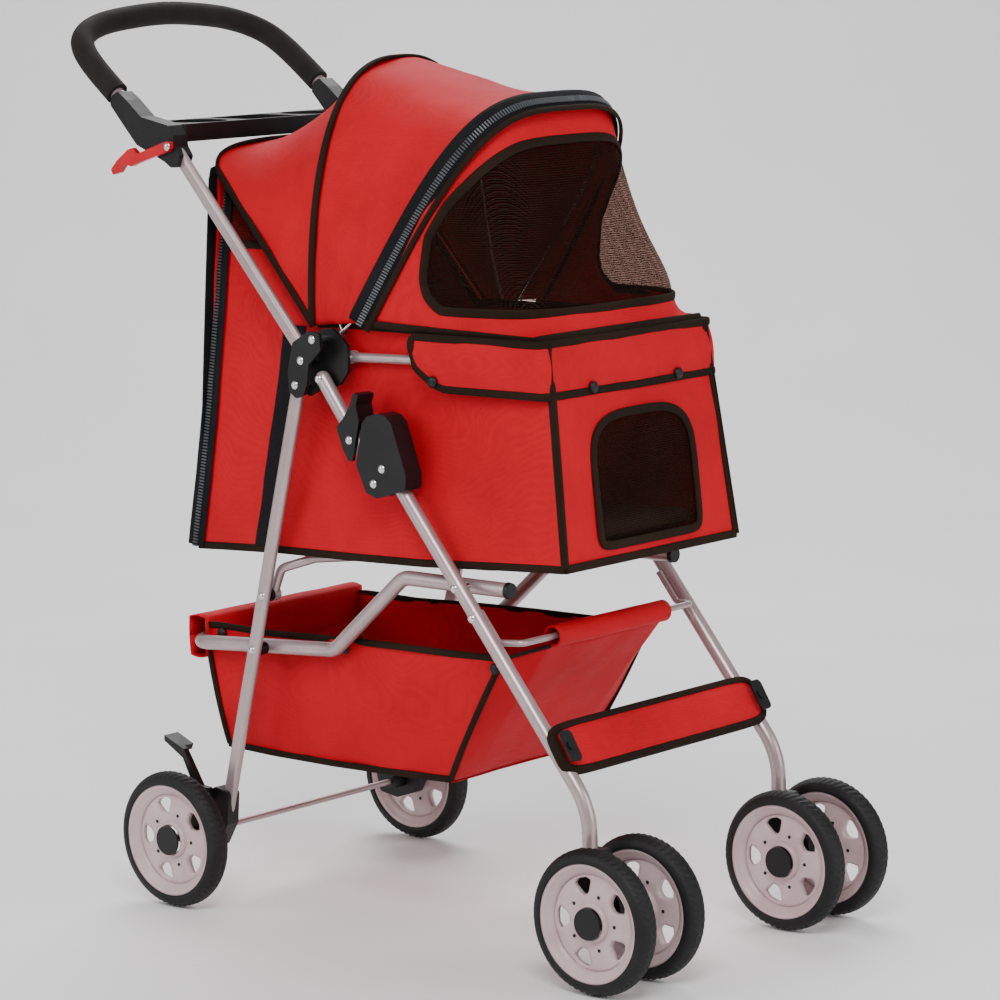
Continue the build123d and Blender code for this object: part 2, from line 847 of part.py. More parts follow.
def cabin_front():
    with BuildPart() as panel:
        with BuildSketch(Plane(origin=panel_foot, x_dir=(1, 0, 0), z_dir=-panel_out)):
            low, high = panel_x(415) - inset, panel_x(641) - inset
            sign = 1 if Plane(origin=panel_foot, x_dir=(1, 0, 0), z_dir=-panel_out).y_dir.Z > 0 else -1
            with BuildLine():
                Polyline((-low, 0), (low, 0), (high, sign * panel_height), (-high, sign * panel_height), close=True)
            make_face()
        extrude(amount=cloth)
        with BuildSketch(Plane(origin=panel_foot + panel_out, x_dir=(1, 0, 0), z_dir=panel_out)):
            make_face(window_face(0).edges())
        extrude(amount=-(cloth + 2), mode=Mode.SUBTRACT)
    save(panel, "cabin_front")


cabin_front()

with BuildPart() as front_mesh:
    with BuildSketch(Plane(origin=panel_foot - panel_out * 0.6, x_dir=(1, 0, 0), z_dir=panel_out)):
        make_face(window_face(-0.3).edges())
    extrude(amount=-0.8)
save(front_mesh, "front_mesh")

flap_low, flap_high = 588.0, 640.0
flap_x = rail_x + rail_tube / 2 + 0.9


def front_flap():
    # a band round the front of the cabin; its side wings hide the ends of the rails
    wing = [(281, 640), (281, 612), (262, 594), (240, 589), (102, 588), (107, 640)]
    with BuildPart() as flap:
        with BuildSketch(Plane(origin=panel_foot + panel_out * 3.2, x_dir=(1, 0, 0), z_dir=panel_out)):
            low = panel_height * (flap_low - 415) / 226.0
            wide, high_edge = flap_x + cloth, panel_height * (flap_high - 415) / 226.0
            with BuildLine():
                Polyline((-wide, low), (wide, low), (wide, high_edge), (-wide, high_edge), close=True)
            make_face()
        extrude(amount=cloth)
        for side in (-1, 1):
            with BuildSketch(side_plane(side * flap_x)):
                with BuildLine():
                    Polyline(*outline([(281, 640), (281, 612), (262, 594), (240, 589), (98, 588), (104, 640)]),
                             close=True)
                make_face()
            extrude(amount=side * cloth)
    save(flap, "front_flap")


front_flap()

door_foot = spot(0, 593.0, 397)
door_head = spot(0, 562.5, 797)


def rear_door():
    up = door_head - door_foot
    normal = Vector(1, 0, 0).cross(up.normalized())
    with BuildPart() as door:
        with BuildSketch(Plane(origin=door_foot, x_dir=(1, 0, 0), z_dir=normal)):
            low, high = panel_x(397) - inset, panel_x(797) - inset
            with BuildLine():
                Polyline((-low, 0), (low, 0), (high, up.length), (-high, up.length), close=True)
            make_face()
        extrude(amount=cloth if normal.Y < 0 else -cloth)
    save(door, "rear_door")


rear_door()

# ---------------------------------------------------------------- hood
# Each section is an arch on its own plane: base point, lean forward from upright, half width, height, squareness.
hood_half = 143.0 * width_share
rear_section = (557.0, 803.0, -4.0, 139.0 * width_share, 28.0, 3.3)
rib_section = (418.0, 644.0, 0.5, hood_half, 275.0, 2.5)
arch_section = (350.0, 650.0, 34.6, hood_half, 274.0, 3.6)
visor_section = (225.0, 646.0, 60.0, 139.0 * width_share, 110.0, 4.5)
lip_section = (122.0, 643.0, 78.0, 132.0 * width_share, 13.0, 5.0)


def arch_points(section, shrink=0.0, count=13):
    station, height, lean, half, tall, square = section
    lean = math.radians(lean)
    half, tall = half - shrink, tall - shrink
    points = []
    for step in range(count):
        turn = math.pi * step / (count - 1)
        c, s = math.cos(turn), math.sin(turn)
        x = -half * math.copysign(abs(c) ** (2 / square), c)
        up = tall * s ** (2 / square)
        points.append(spot(x, station - up * math.sin(lean), height + up * math.cos(lean)))
    return points


def hood_shell(sections, outer, inner):
    # thin arched bands on each section's plane, joined by straight ruled surfaces
    bands = []
    for section in sections:
        skin = arch_points(section, outer)
        lining = arch_points(section, inner)
        edges = [Spline(*skin, mode=Mode.PRIVATE).edge(), Line(skin[-1], lining[-1], mode=Mode.PRIVATE).edge(),
                 Spline(*reversed(lining), mode=Mode.PRIVATE).edge(),
                 Line(lining[0], skin[0], mode=Mode.PRIVATE).edge()]
        bands.append(Wire(edges))
    return Solid.make_loft(bands, ruled=True)


def shift(section, move):
    return (section[0] + move,) + section[1:]


hood_rear = hood_shell([rear_section, shift(rib_section, 0.3)], 0.0, cloth)
hood_middle = hood_shell([shift(rib_section, -0.3), shift(arch_section, 0.4)], 0.0, cloth)
visor = [shift(arch_section, -0.4), visor_section, lip_section]
window_side = [(262, 700), (256, 742), (236, 775), (214, 800), (186, 834), (150, 860), (60, 860),
               (60, 668), (240, 668), (257, 682)]


def window_cutter():
    with BuildPart() as cutter:
        with BuildSketch(side_plane(-leg_x)) as face:
            with BuildLine():
                Polyline(*outline(window_side), close=True)
            make_face()
        extrude(amount=2 * leg_x)
    return cutter.part


def save_shape(shape, label):
    with BuildPart() as holder:
        add(shape)
    save(holder, label)


save_shape(hood_rear, "hood_rear")
save_shape(hood_middle, "hood_middle")
save_shape(hood_shell(visor, 0.0, cloth) - window_cutter(), "front_window")
save_shape(hood_shell(visor, 0.6, 1.4) & window_cutter(), "hood_mesh")


def hoop(section, shrink, eye_x, label):
    # a spring-steel wire arch whose two ends turn on the hood pins
    section = section[:3] + (eye_x,) + (section[4] - shrink,) + section[5:]
    points = arch_points(section)
    inner = points[2:-2]
    foot = spot(-eye_x, hood_pivot[0] - 2.5, hood_pivot[1] + 2.5)
    other = spot(eye_x, hood_pivot[0] - 2.5, hood_pivot[1] + 2.5)
    with BuildPart() as wire:
        with BuildLine() as path:
            Spline(foot, *inner, other)
        with BuildSketch(Plane(origin=path.line @ 0, z_dir=path.line % 0)):
            Circle(1.9)
        sweep(path=path.line)
        for side in (-1, 1):
            x = side * eye_x
            add(pin_x(x - 1.95, x + 1.95, *hood_pivot, 5.5))
            add(pin_x(x - 4, x + 4, *hood_pivot, hood_pin + running_gap), mode=Mode.SUBTRACT)
    save(wire, label)


hoop(shift(arch_section, 9.0), cloth + 5.0, leg_x - 20.6, "hood_front_hoop")
hoop(shift(rib_section, -6.0), cloth + 5.0, leg_x - 25.8, "hood_rib")

# ---------------------------------------------------------------- storage basket
basket_half = 121.0 * width_share
basket_outer = [(262, 168), (588, 165), (606, 300), (592, 301), (518, 300), (418, 304), (336, 306), (181, 309)]
basket_inner = [(264, 170), (586, 167), (603.5, 302), (592, 320), (518, 320), (418, 320), (336, 320), (178, 322)]


def plain_prism(pairs, half):
    with BuildPart() as prism:
        with BuildSketch(side_plane(-half)):
            with BuildLine():
                Polyline(*outline(pairs), close=True)
            make_face()
        extrude(amount=2 * half)
    return prism.part


def ring_x(station, height, outer, inner, half):
    return pin_x(-half, half, station, height, outer) - pin_x(-half - 1, half + 1, station, height, inner)


basket_front_bar = (138.0, 333.0)
seat_back = (618.0, 282.0)


def storage_basket():
    tub = plain_prism(basket_outer, basket_half) - plain_prism(basket_inner, basket_half - cloth)
    apron = plain_prism([(182.5, 306), (184.5, 307), (145, 336.5), (143, 334.5)], 90 * width_share)
    front_sleeve = ring_x(*basket_front_bar, 5.8, 3.8, 108 * width_share)
    rear_sleeve = ring_x(*seat_back, seat_tube / 2 + 2.4, seat_tube / 2 + 0.4, 100 * width_share)
    bridge = plain_prism([(603, 292), (606, 300), (617, 294), (616, 291.5)], 100 * width_share)
    bridge = bridge - pin_x(-200, 200, *seat_back, seat_tube / 2 + 1.0)
    apron = apron - pin_x(-200, 200, *basket_front_bar, 4.5)
    save_shape(tub + apron + front_sleeve + rear_sleeve + bridge, "storage_basket")


storage_basket()

# ---------------------------------------------------------------- rivets and pins of the rear frame
def frame_rivets():
    with BuildPart() as group:
        for side in (-1, 1):
            face = side * (outer_plate_x + plate)
            full = leg_tube + 2 * plate + 0.8
            add(rivet_x(face, side, 394.0, 632.6, shank=full))
            add(rivet_x(face, side, 411.0, 609.5, shank=full))
            add(rivet_x(face, side, 420.0, 583.0, shank=full))
            head = side * (leg_x + leg_tube / 2 + 0.1)
            add(rivet_x(head, side, *link_top, shank=leg_tube + plate + 0.5))
            skin = side * (leg_x + flat_tube_thick / 2)
            add(rivet_x(skin, side, *leg_rivet_high, shank=flat_tube_thick + 15.0))
            add(rivet_x(skin, side, *leg_rivet_low, shank=flat_tube_thick + 26.0))
            root = side * (leg_x - leg_tube / 2 - 2.5)
            for place, radius, inner in ((rail_pivot, pin_radius, rail_x - 5.2), (hood_pivot, hood_pin, leg_x - 28.2)):
                low, high = sorted((root, side * inner))
                add(pin_x(low, high, *place, radius))
        add(rivet_x(-(leg_x + 10.5 + 7.2), -1, *hook_pivot, shank=13.0))
    save(group, "frame_rivets")


frame_rivets()
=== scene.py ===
import math

import bpy
import bmesh
from mathutils import Matrix, Vector, noise


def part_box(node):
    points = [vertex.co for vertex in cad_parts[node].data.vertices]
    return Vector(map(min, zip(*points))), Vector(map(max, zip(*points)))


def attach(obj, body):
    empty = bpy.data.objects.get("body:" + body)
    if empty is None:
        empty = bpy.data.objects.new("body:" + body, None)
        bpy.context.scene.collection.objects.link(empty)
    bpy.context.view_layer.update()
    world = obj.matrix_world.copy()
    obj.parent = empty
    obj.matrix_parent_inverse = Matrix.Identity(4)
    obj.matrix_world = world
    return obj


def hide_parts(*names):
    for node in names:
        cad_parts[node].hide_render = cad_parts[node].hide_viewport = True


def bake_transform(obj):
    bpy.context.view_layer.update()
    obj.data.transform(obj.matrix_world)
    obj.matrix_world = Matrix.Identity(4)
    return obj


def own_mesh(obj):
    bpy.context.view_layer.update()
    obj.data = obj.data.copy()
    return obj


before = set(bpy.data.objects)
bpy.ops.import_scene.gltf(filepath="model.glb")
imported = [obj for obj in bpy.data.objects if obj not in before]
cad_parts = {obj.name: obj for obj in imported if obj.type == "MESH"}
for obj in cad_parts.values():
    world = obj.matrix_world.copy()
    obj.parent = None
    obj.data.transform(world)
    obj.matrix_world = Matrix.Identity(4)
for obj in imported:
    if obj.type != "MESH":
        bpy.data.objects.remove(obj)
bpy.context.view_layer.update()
print("loaded", len(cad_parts), "nodes")

mm = 0.001
axleLow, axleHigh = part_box("front_axle_right")
axle = (axleLow + axleHigh) * 0.5


def spot(x, station, height):
    # x and height in mm; station is the distance behind the front axle
    return Vector((x * mm, axle.y + station * mm, height * mm))


# ------------------------------------------------------------ materials
def newMaterial(name):
    mat = bpy.data.materials.new(name)
    mat.use_nodes = True
    nodes = mat.node_tree.nodes
    nodes.clear()
    out = nodes.new("ShaderNodeOutputMaterial")
    shader = nodes.new("ShaderNodeBsdfPrincipled")
    mat.node_tree.links.new(shader.outputs[0], out.inputs[0])
    return mat, mat.node_tree, shader, out


def objectCoords(tree, scale=(1, 1, 1)):
    coords = tree.nodes.new("ShaderNodeTexCoord")
    mapping = tree.nodes.new("ShaderNodeMapping")
    mapping.inputs["Scale"].default_value = scale
    tree.links.new(coords.outputs["Object"], mapping.inputs["Vector"])
    return mapping.outputs[0]


def noiseNode(tree, vector, scale, detail=3.0, rough=0.55):
    node = tree.nodes.new("ShaderNodeTexNoise")
    node.inputs["Scale"].default_value = scale
    node.inputs["Detail"].default_value = detail
    node.inputs["Roughness"].default_value = rough
    tree.links.new(vector, node.inputs["Vector"])
    return node.outputs[0]


def rampNode(tree, value, stops):
    ramp = tree.nodes.new("ShaderNodeValToRGB")
    tree.links.new(value, ramp.inputs[0])
    ramp.color_ramp.elements[0].position = stops[0][0]
    ramp.color_ramp.elements[0].color = (*stops[0][1], 1)
    ramp.color_ramp.elements[1].position = stops[-1][0]
    ramp.color_ramp.elements[1].color = (*stops[-1][1], 1)
    for place, colour in stops[1:-1]:
        extra = ramp.color_ramp.elements.new(place)
        extra.color = (*colour, 1)
    return ramp.outputs[0]


def mathNode(tree, operation, a, b=None):
    node = tree.nodes.new("ShaderNodeMath")
    node.operation = operation
    for socket, value in zip(node.inputs, (a, b)):
        if value is None:
            continue
        if isinstance(value, (int, float)):
            socket.default_value = value
        else:
            tree.links.new(value, socket)
    return node.outputs[0]


def bumpNode(tree, shader, height, strength, distance):
    bump = tree.nodes.new("ShaderNodeBump")
    bump.inputs["Strength"].default_value = strength
    bump.inputs["Distance"].default_value = distance
    tree.links.new(height, bump.inputs["Height"])
    tree.links.new(bump.outputs[0], shader.inputs["Normal"])
    return bump


def weaveHeight(tree, vector, pitch):
    split = tree.nodes.new("ShaderNodeSeparateXYZ")
    tree.links.new(vector, split.inputs[0])
    waves = []
    for part in (0, 1, 2):
        turned = mathNode(tree, "MULTIPLY", split.outputs[part], 2 * math.pi / pitch)
        waves.append(mathNode(tree, "SINE", turned))
    total = mathNode(tree, "ADD", mathNode(tree, "MULTIPLY", waves[0], waves[1]),
                     mathNode(tree, "MULTIPLY", waves[1], waves[2]))
    return mathNode(tree, "ADD", total, mathNode(tree, "MULTIPLY", waves[0], waves[2]))


def clothMaterial(name, dark, mid, light, pitch=0.0011, rough=0.62, sheen=0.25):
    mat, tree, shader, _ = newMaterial(name)
    vector = objectCoords(tree)
    blotch = noiseNode(tree, vector, 9.0, 5.0, 0.6)
    colour = rampNode(tree, blotch, [(0.3, dark), (0.52, mid), (0.75, light)])
    tree.links.new(colour, shader.inputs["Base Color"])
    shader.inputs["Roughness"].default_value = rough
    shader.inputs["Sheen Weight"].default_value = sheen
    shader.inputs["Sheen Roughness"].default_value = 0.4
    shader.inputs["Specular IOR Level"].default_value = 0.16
    shader.inputs["Sheen Tint"].default_value = (*light, 1)
    weave = weaveHeight(tree, vector, pitch)
    folds = noiseNode(tree, objectCoords(tree, (1.0, 1.0, 0.4)), 15.0, 4.0, 0.52)
    height = mathNode(tree, "ADD", mathNode(tree, "MULTIPLY", weave, 0.10),
                      mathNode(tree, "MULTIPLY", folds, 6.5))
    bumpNode(tree, shader, height, 0.8, 0.0012)
    return mat


def plasticMaterial(name, dark, light, rough, bump, grain=900.0, coat=0.0):
    mat, tree, shader, _ = newMaterial(name)
    vector = objectCoords(tree)
    spread = noiseNode(tree, vector, 22.0, 4.0, 0.6)
    tree.links.new(rampNode(tree, spread, [(0.35, dark), (0.7, light)]), shader.inputs["Base Color"])
    smudge = noiseNode(tree, vector, 60.0, 3.0, 0.6)
    tree.links.new(mathNode(tree, "ADD", mathNode(tree, "MULTIPLY", smudge, 0.22), rough - 0.11),
                   shader.inputs["Roughness"])
    shader.inputs["Coat Weight"].default_value = coat
    shader.inputs["Specular IOR Level"].default_value = 0.3
    bumpNode(tree, shader, noiseNode(tree, vector, grain, 2.0, 0.6), bump, 0.0003)
    return mat


def paintMaterial():
    mat, tree, shader, _ = newMaterial("tubePaint")
    vector = objectCoords(tree)
    spread = noiseNode(tree, vector, 14.0, 4.0, 0.6)
    tree.links.new(rampNode(tree, spread, [(0.3, (0.36, 0.275, 0.28)), (0.7, (0.47, 0.37, 0.375))]),
                   shader.inputs["Base Color"])
    shader.inputs["Metallic"].default_value = 0.55
    rub = noiseNode(tree, vector, 120.0, 3.0, 0.6)
    tree.links.new(mathNode(tree, "ADD", mathNode(tree, "MULTIPLY", rub, 0.14), 0.26),
                   shader.inputs["Roughness"])
    shader.inputs["Coat Weight"].default_value = 0.35
    shader.inputs["Coat Roughness"].default_value = 0.18
    bumpNode(tree, shader, noiseNode(tree, vector, 700.0, 2.0, 0.5), 0.12, 0.0002)
    return mat


def netMaterial(name, colour, pitch, openness):
    mat, tree, shader, out = newMaterial(name)
    vector = objectCoords(tree)
    split = tree.nodes.new("ShaderNodeSeparateXYZ")
    tree.links.new(vector, split.inputs[0])
    rows = mathNode(tree, "ADD", split.outputs[1], split.outputs[0])
    waveA = mathNode(tree, "ABSOLUTE",
                     mathNode(tree, "SINE", mathNode(tree, "MULTIPLY", rows, math.pi / pitch)))
    waveB = mathNode(tree, "ABSOLUTE",
                     mathNode(tree, "SINE", mathNode(tree, "MULTIPLY", split.outputs[2], math.pi / pitch)))
    hole = mathNode(tree, "MULTIPLY", mathNode(tree, "GREATER_THAN", waveA, 0.3),
                    mathNode(tree, "GREATER_THAN", waveB, 0.3))
    seen = mathNode(tree, "ADD", mathNode(tree, "MULTIPLY", hole, openness), 0.12)
    spread = noiseNode(tree, vector, 40.0)
    tree.links.new(rampNode(tree, spread, [(0.3, colour), (0.7, tuple(min(1.0, c * 1.6) for c in colour))]),
                   shader.inputs["Base Color"])
    shader.inputs["Roughness"].default_value = 0.7
    shader.inputs["Specular IOR Level"].default_value = 0.08
    clear = tree.nodes.new("ShaderNodeBsdfTransparent")
    clear.inputs["Color"].default_value = (0.86, 0.74, 0.70, 1)
    mix = tree.nodes.new("ShaderNodeMixShader")
    tree.links.new(seen, mix.inputs[0])
    tree.links.new(shader.outputs[0], mix.inputs[1])
    tree.links.new(clear.outputs[0], mix.inputs[2])
    tree.links.new(mix.outputs[0], out.inputs[0])
    return mat


redCloth = clothMaterial("redCloth", (0.46, 0.0004, 0.0075), (0.53, 0.0005, 0.0095), (0.58, 0.0008, 0.0115),
                         sheen=0.02)
bindingCloth = clothMaterial("bindingCloth", (0.010, 0.0045, 0.0015), (0.015, 0.007, 0.0025),
                             (0.022, 0.011, 0.005), 0.0009, 0.8, 0.05)
blackStrap = clothMaterial("blackStrap", (0.003, 0.003, 0.004), (0.005, 0.005, 0.0065),
                           (0.009, 0.009, 0.011), 0.0014, 0.75, 0.05)
padCloth = clothMaterial("padCloth", (0.10, 0.10, 0.11), (0.15, 0.15, 0.16), (0.2, 0.2, 0.21), 0.003, 0.8,
                         0.2)
darkNet = netMaterial("darkNet", (0.010, 0.005, 0.003), 0.0024, 0.80)
blackPlastic = plasticMaterial("blackPlastic", (0.0035, 0.0035, 0.004), (0.008, 0.008, 0.009), 0.42, 0.25)
zipPlastic = plasticMaterial("zipPlastic", (0.05, 0.055, 0.06), (0.09, 0.095, 0.105), 0.3, 0.1)
redPlastic = plasticMaterial("redPlastic", (0.44, 0.0015, 0.008), (0.56, 0.003, 0.012), 0.36, 0.1, 500.0, 0.2)
wheelPlastic = plasticMaterial("wheelPlastic", (0.50, 0.36, 0.365), (0.60, 0.46, 0.465), 0.34, 0.12, 700.0,
                               0.2)
foamGrip = plasticMaterial("foamGrip", (0.006, 0.0045, 0.004), (0.012, 0.009, 0.008), 0.8, 0.7, 420.0)
tyreRubber = plasticMaterial("tyreRubber", (0.004, 0.004, 0.0045), (0.010, 0.010, 0.011), 0.58, 0.5, 520.0)
rivetSteel = plasticMaterial("rivetSteel", (0.55, 0.55, 0.57), (0.75, 0.75, 0.77), 0.26, 0.08)
rivetSteel.node_tree.nodes["Principled BSDF"].inputs["Metallic"].default_value = 1.0
boardBrown = plasticMaterial("boardBrown", (0.20, 0.13, 0.08), (0.30, 0.20, 0.13), 0.8, 0.4, 200.0)
tubePaint = paintMaterial()

nodeLooks = {
    tubePaint: ["rear_legs", "handle_tubes", "upper_links", "front_leg_left", "front_leg_right", "basket_bar",
                "seat_frame", "floor_support", "side_rails", "handle_bar", "rear_crossbar"],
    blackPlastic: ["side_brackets", "pivot_spacers", "rear_housings", "rear_axles", "parent_tray",
                   "brake_lever_left",
                   "brake_lever_right", "latch_lever_left", "latch_lever_right", "knee_housing_left",
                   "knee_housing_right", "foot_rest_clips", "seat_frame_caps", "caster_fork_left",
                   "caster_fork_right", "front_axle_left", "front_axle_right"],
    rivetSteel: ["frame_rivets", "front_rivets", "latch_pins", "hood_front_hoop", "hood_rib"],
    foamGrip: ["handle_grip"],
    redPlastic: ["storage_hook"],
    boardBrown: ["floor_board"],
    redCloth: ["cabin_sides", "cabin_front", "cabin_floor", "front_flap", "rear_door", "hood_rear",
               "hood_middle",
               "front_window", "storage_basket", "foot_rest"],
    darkNet: ["front_mesh", "hood_mesh"],
}
for material, names in nodeLooks.items():
    for nodeName in names:
        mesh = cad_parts[nodeName].data
        mesh.materials.clear()
        mesh.materials.append(material)
for nodeName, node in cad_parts.items():
    if nodeName.startswith(("hub_", "tyre_")):
        node.data.materials.clear()
        node.data.materials.append(wheelPlastic if nodeName.startswith("hub_") else tyreRubber)
print("materials ready")


# ------------------------------------------------------------ mesh helpers
def addMesh(name, points, faces, material, smooth=True):
    mesh = bpy.data.meshes.new(name)
    mesh.from_pydata([tuple(p) for p in points], [], faces)
    mesh.materials.append(material)
    work = bmesh.new()
    work.from_mesh(mesh)
    bmesh.ops.remove_doubles(work, verts=work.verts, dist=1e-6)
    bmesh.ops.recalc_face_normals(work, faces=work.faces)
    work.to_mesh(mesh)
    work.free()
    for polygon in mesh.polygons:
        polygon.use_smooth = smooth
    obj = bpy.data.objects.new(name, mesh)
    bpy.context.scene.collection.objects.link(obj)
    return obj


flatSizes = {}


def thickSheet(name, rows, thickness, material, loop=False, outward=None, crease=0.0, creaseScale=14.0,
               seed=0.0):
    # rows is a grid of points; the sheet is given thickness inwards, away from outward
    high, wide = len(rows), len(rows[0])
    skin, lining = [], []
    for i in range(high):
        for j in range(wide):
            here = rows[i][j]
            nextJ = rows[i][(j + 1) % wide] if loop or j < wide - 1 else here
            lastJ = rows[i][(j - 1) % wide] if loop or j > 0 else here
            nextI = rows[min(i + 1, high - 1)][j]
            lastI = rows[max(i - 1, 0)][j]
            normal = (nextJ - lastJ).cross(nextI - lastI)
            if normal.length < 1e-12:
                normal = Vector((0, 0, 1))
            normal.normalize()
            if outward is not None and normal.dot(outward(here)) < 0:
                normal = -normal
            lift = 0.0
            if crease:
                place = here * creaseScale + Vector((seed, seed, seed))
                lift = crease * (noise.noise(place) + 0.5 * noise.noise(place * 2.1))
            skin.append(here + normal * lift)
            lining.append(here + normal * (lift - thickness))
    total = high * wide
    faces = []
    steps = wide if loop else wide - 1
    for i in range(high - 1):
        for j in range(steps):
            a, b = i * wide + j, i * wide + (j + 1) % wide
            c, d = b + wide, a + wide
            faces.append((a, b, c, d))
            faces.append((a + total, d + total, c + total, b + total))
    for j in range(steps):
        a, b = j, (j + 1) % wide
        faces.append((a, a + total, b + total, b))
        a, b = (high - 1) * wide + j, (high - 1) * wide + (j + 1) % wide
        faces.append((a, b, b + total, a + total))
    if not loop:
        for i in range(high - 1):
            a, b = i * wide, (i + 1) * wide
            faces.append((a, b, b + total, a + total))
            a, b = i * wide + wide - 1, (i + 1) * wide + wide - 1
            faces.append((a, a + total, b + total, b))
    obj = addMesh(name, skin + lining, faces, material)
    area = 0.0
    for i in range(high - 1):
        for j in range(steps):
            p, q = skin[i * wide + j], skin[i * wide + (j + 1) % wide]
            r, s = skin[(i + 1) * wide + (j + 1) % wide], skin[(i + 1) * wide + j]
            area += ((q - p).cross(r - p).length + (r - p).cross(s - p).length) / 2
    flatSizes[name] = area
    return obj


def declareSheet(obj, width, length):
    area = flatSizes[obj.name]
    if area > width * length:
        grow = math.sqrt(area / (width * length)) * 1.0005
        width, length = width * grow, length * grow
    print("sheet", obj.name, round(width, 3), round(length, 3), round(area, 4))


def lerp(a, b, t):
    return a + (b - a) * t


def polyAt(points, t):
    # point at share t of the length of a polyline
    lengths = [(points[i + 1] - points[i]).length for i in range(len(points) - 1)]
    goal = t * sum(lengths)
    for i, part in enumerate(lengths):
        if goal <= part or i == len(lengths) - 1:
            return lerp(points[i], points[i + 1], min(1.0, goal / max(part, 1e-9)))
        goal -= part
    return points[-1]


def coons(bottom, top, left, right, u, v):
    b, t, l, r = polyAt(bottom, u), polyAt(top, u), polyAt(left, v), polyAt(right, v)
    corner = lerp(lerp(bottom[0], bottom[-1], u), lerp(top[0], top[-1], u), v)
    return lerp(b, t, v) + lerp(l, r, u) - corner


def smoothLine(points, count):
    return [polyAt(points, i / (count - 1)) for i in range(count)]


def band(name, points, normals, width, thick, material, closed=False):
    # a folded tape: a flattened round section swept along points, flat to the normals
    count = len(points)
    ring = 10
    verts, faces = [], []
    for i, here in enumerate(points):
        ahead = points[(i + 1) % count] if closed or i < count - 1 else here
        back = points[(i - 1) % count] if closed or i > 0 else here
        tangent = (ahead - back).normalized()
        normal = (normals[i] - tangent * normals[i].dot(tangent)).normalized()
        across = tangent.cross(normal)
        for k in range(ring):
            angle = 2 * math.pi * k / ring
            c, s = math.cos(angle), math.sin(angle)
            flatC = math.copysign(abs(c) ** 0.6, c)
            verts.append(here + across * (flatC * width / 2) + normal * (s * thick / 2))
    runs = count if closed else count - 1
    for i in range(runs):
        n = (i + 1) % count
        for k in range(ring):
            m = (k + 1) % ring
            faces.append((i * ring + k, i * ring + m, n * ring + m, n * ring + k))
    if not closed:
        faces.append(tuple(range(ring)))
        faces.append(tuple((count - 1) * ring + k for k in range(ring)))
    return addMesh(name, verts, faces, material)


def repeatAlong(name, points, normals, item, spacing, material):
    # Geometry Nodes: copies of one small item along a path, faced outwards and made real
    mesh = bpy.data.meshes.new(name + "Path")
    mesh.from_pydata([tuple(p) for p in points], [(k, k + 1) for k in range(len(points) - 1)], [])
    outward = mesh.attributes.new("outward", "FLOAT_VECTOR", "POINT")
    for k, normal in enumerate(normals):
        outward.data[k].vector = normal
    path = bpy.data.objects.new(name + "Path", mesh)
    bpy.context.scene.collection.objects.link(path)
    tree = bpy.data.node_groups.new(name + "Nodes", "GeometryNodeTree")
    tree.interface.new_socket("Geometry", in_out="INPUT", socket_type="NodeSocketGeometry")
    spacingSocket = tree.interface.new_socket("Spacing", in_out="INPUT", socket_type="NodeSocketFloat")
    tree.interface.new_socket("Geometry", in_out="OUTPUT", socket_type="NodeSocketGeometry")
    inputs = tree.nodes.new("NodeGroupInput")
    outputs = tree.nodes.new("NodeGroupOutput")
    line = tree.nodes.new("GeometryNodeMeshToCurve")
    resample = tree.nodes.new("GeometryNodeResampleCurve")
    if "Mode" in resample.inputs:
        resample.inputs["Mode"].default_value = "Length"
    else:
        resample.mode = "LENGTH"
    toPoints = tree.nodes.new("GeometryNodeCurveToPoints")
    if "Mode" in toPoints.inputs:
        toPoints.inputs["Mode"].default_value = "Evaluated"
    else:
        toPoints.mode = "EVALUATED"
    facing = tree.nodes.new("GeometryNodeInputNamedAttribute")
    facing.data_type = "FLOAT_VECTOR"
    facing.inputs["Name"].default_value = "outward"
    alongTurn = tree.nodes.new("FunctionNodeAlignRotationToVector")
    alongTurn.axis = "Z"
    outTurn = tree.nodes.new("FunctionNodeAlignRotationToVector")
    outTurn.axis = "X"
    outTurn.pivot_axis = "Z"
    info = tree.nodes.new("GeometryNodeObjectInfo")
    info.inputs["Object"].default_value = item
    place = tree.nodes.new("GeometryNodeInstanceOnPoints")
    real = tree.nodes.new("GeometryNodeRealizeInstances")
    paint = tree.nodes.new("GeometryNodeSetMaterial")
    paint.inputs["Material"].default_value = material
    link = tree.links.new
    link(inputs.outputs["Geometry"], line.inputs[0])
    link(line.outputs[0], resample.inputs["Curve"])
    link(inputs.outputs["Spacing"], resample.inputs["Length"])
    link(resample.outputs[0], toPoints.inputs[0])
    link(toPoints.outputs["Tangent"], alongTurn.inputs["Vector"])
    link(alongTurn.outputs["Rotation"], outTurn.inputs["Rotation"])
    link(facing.outputs["Attribute"], outTurn.inputs["Vector"])
    link(toPoints.outputs["Points"], place.inputs["Points"])
    link(outTurn.outputs["Rotation"], place.inputs["Rotation"])
    link(info.outputs["Geometry"], place.inputs["Instance"])
    link(place.outputs[0], real.inputs[0])
    link(real.outputs[0], paint.inputs[0])
    link(paint.outputs[0], outputs.inputs[0])
    modifier = path.modifiers.new("repeat", "NODES")
    modifier.node_group = tree
    modifier[spacingSocket.identifier] = spacing
    bpy.context.view_layer.update()
    depsgraph = bpy.context.evaluated_depsgraph_get()
    made = bpy.data.meshes.new_from_object(path.evaluated_get(depsgraph), depsgraph=depsgraph)
    obj = bpy.data.objects.new(name, made)
    bpy.context.scene.collection.objects.link(obj)
    if not made.materials:
        made.materials.append(material)
    bpy.data.objects.remove(path)
    return obj


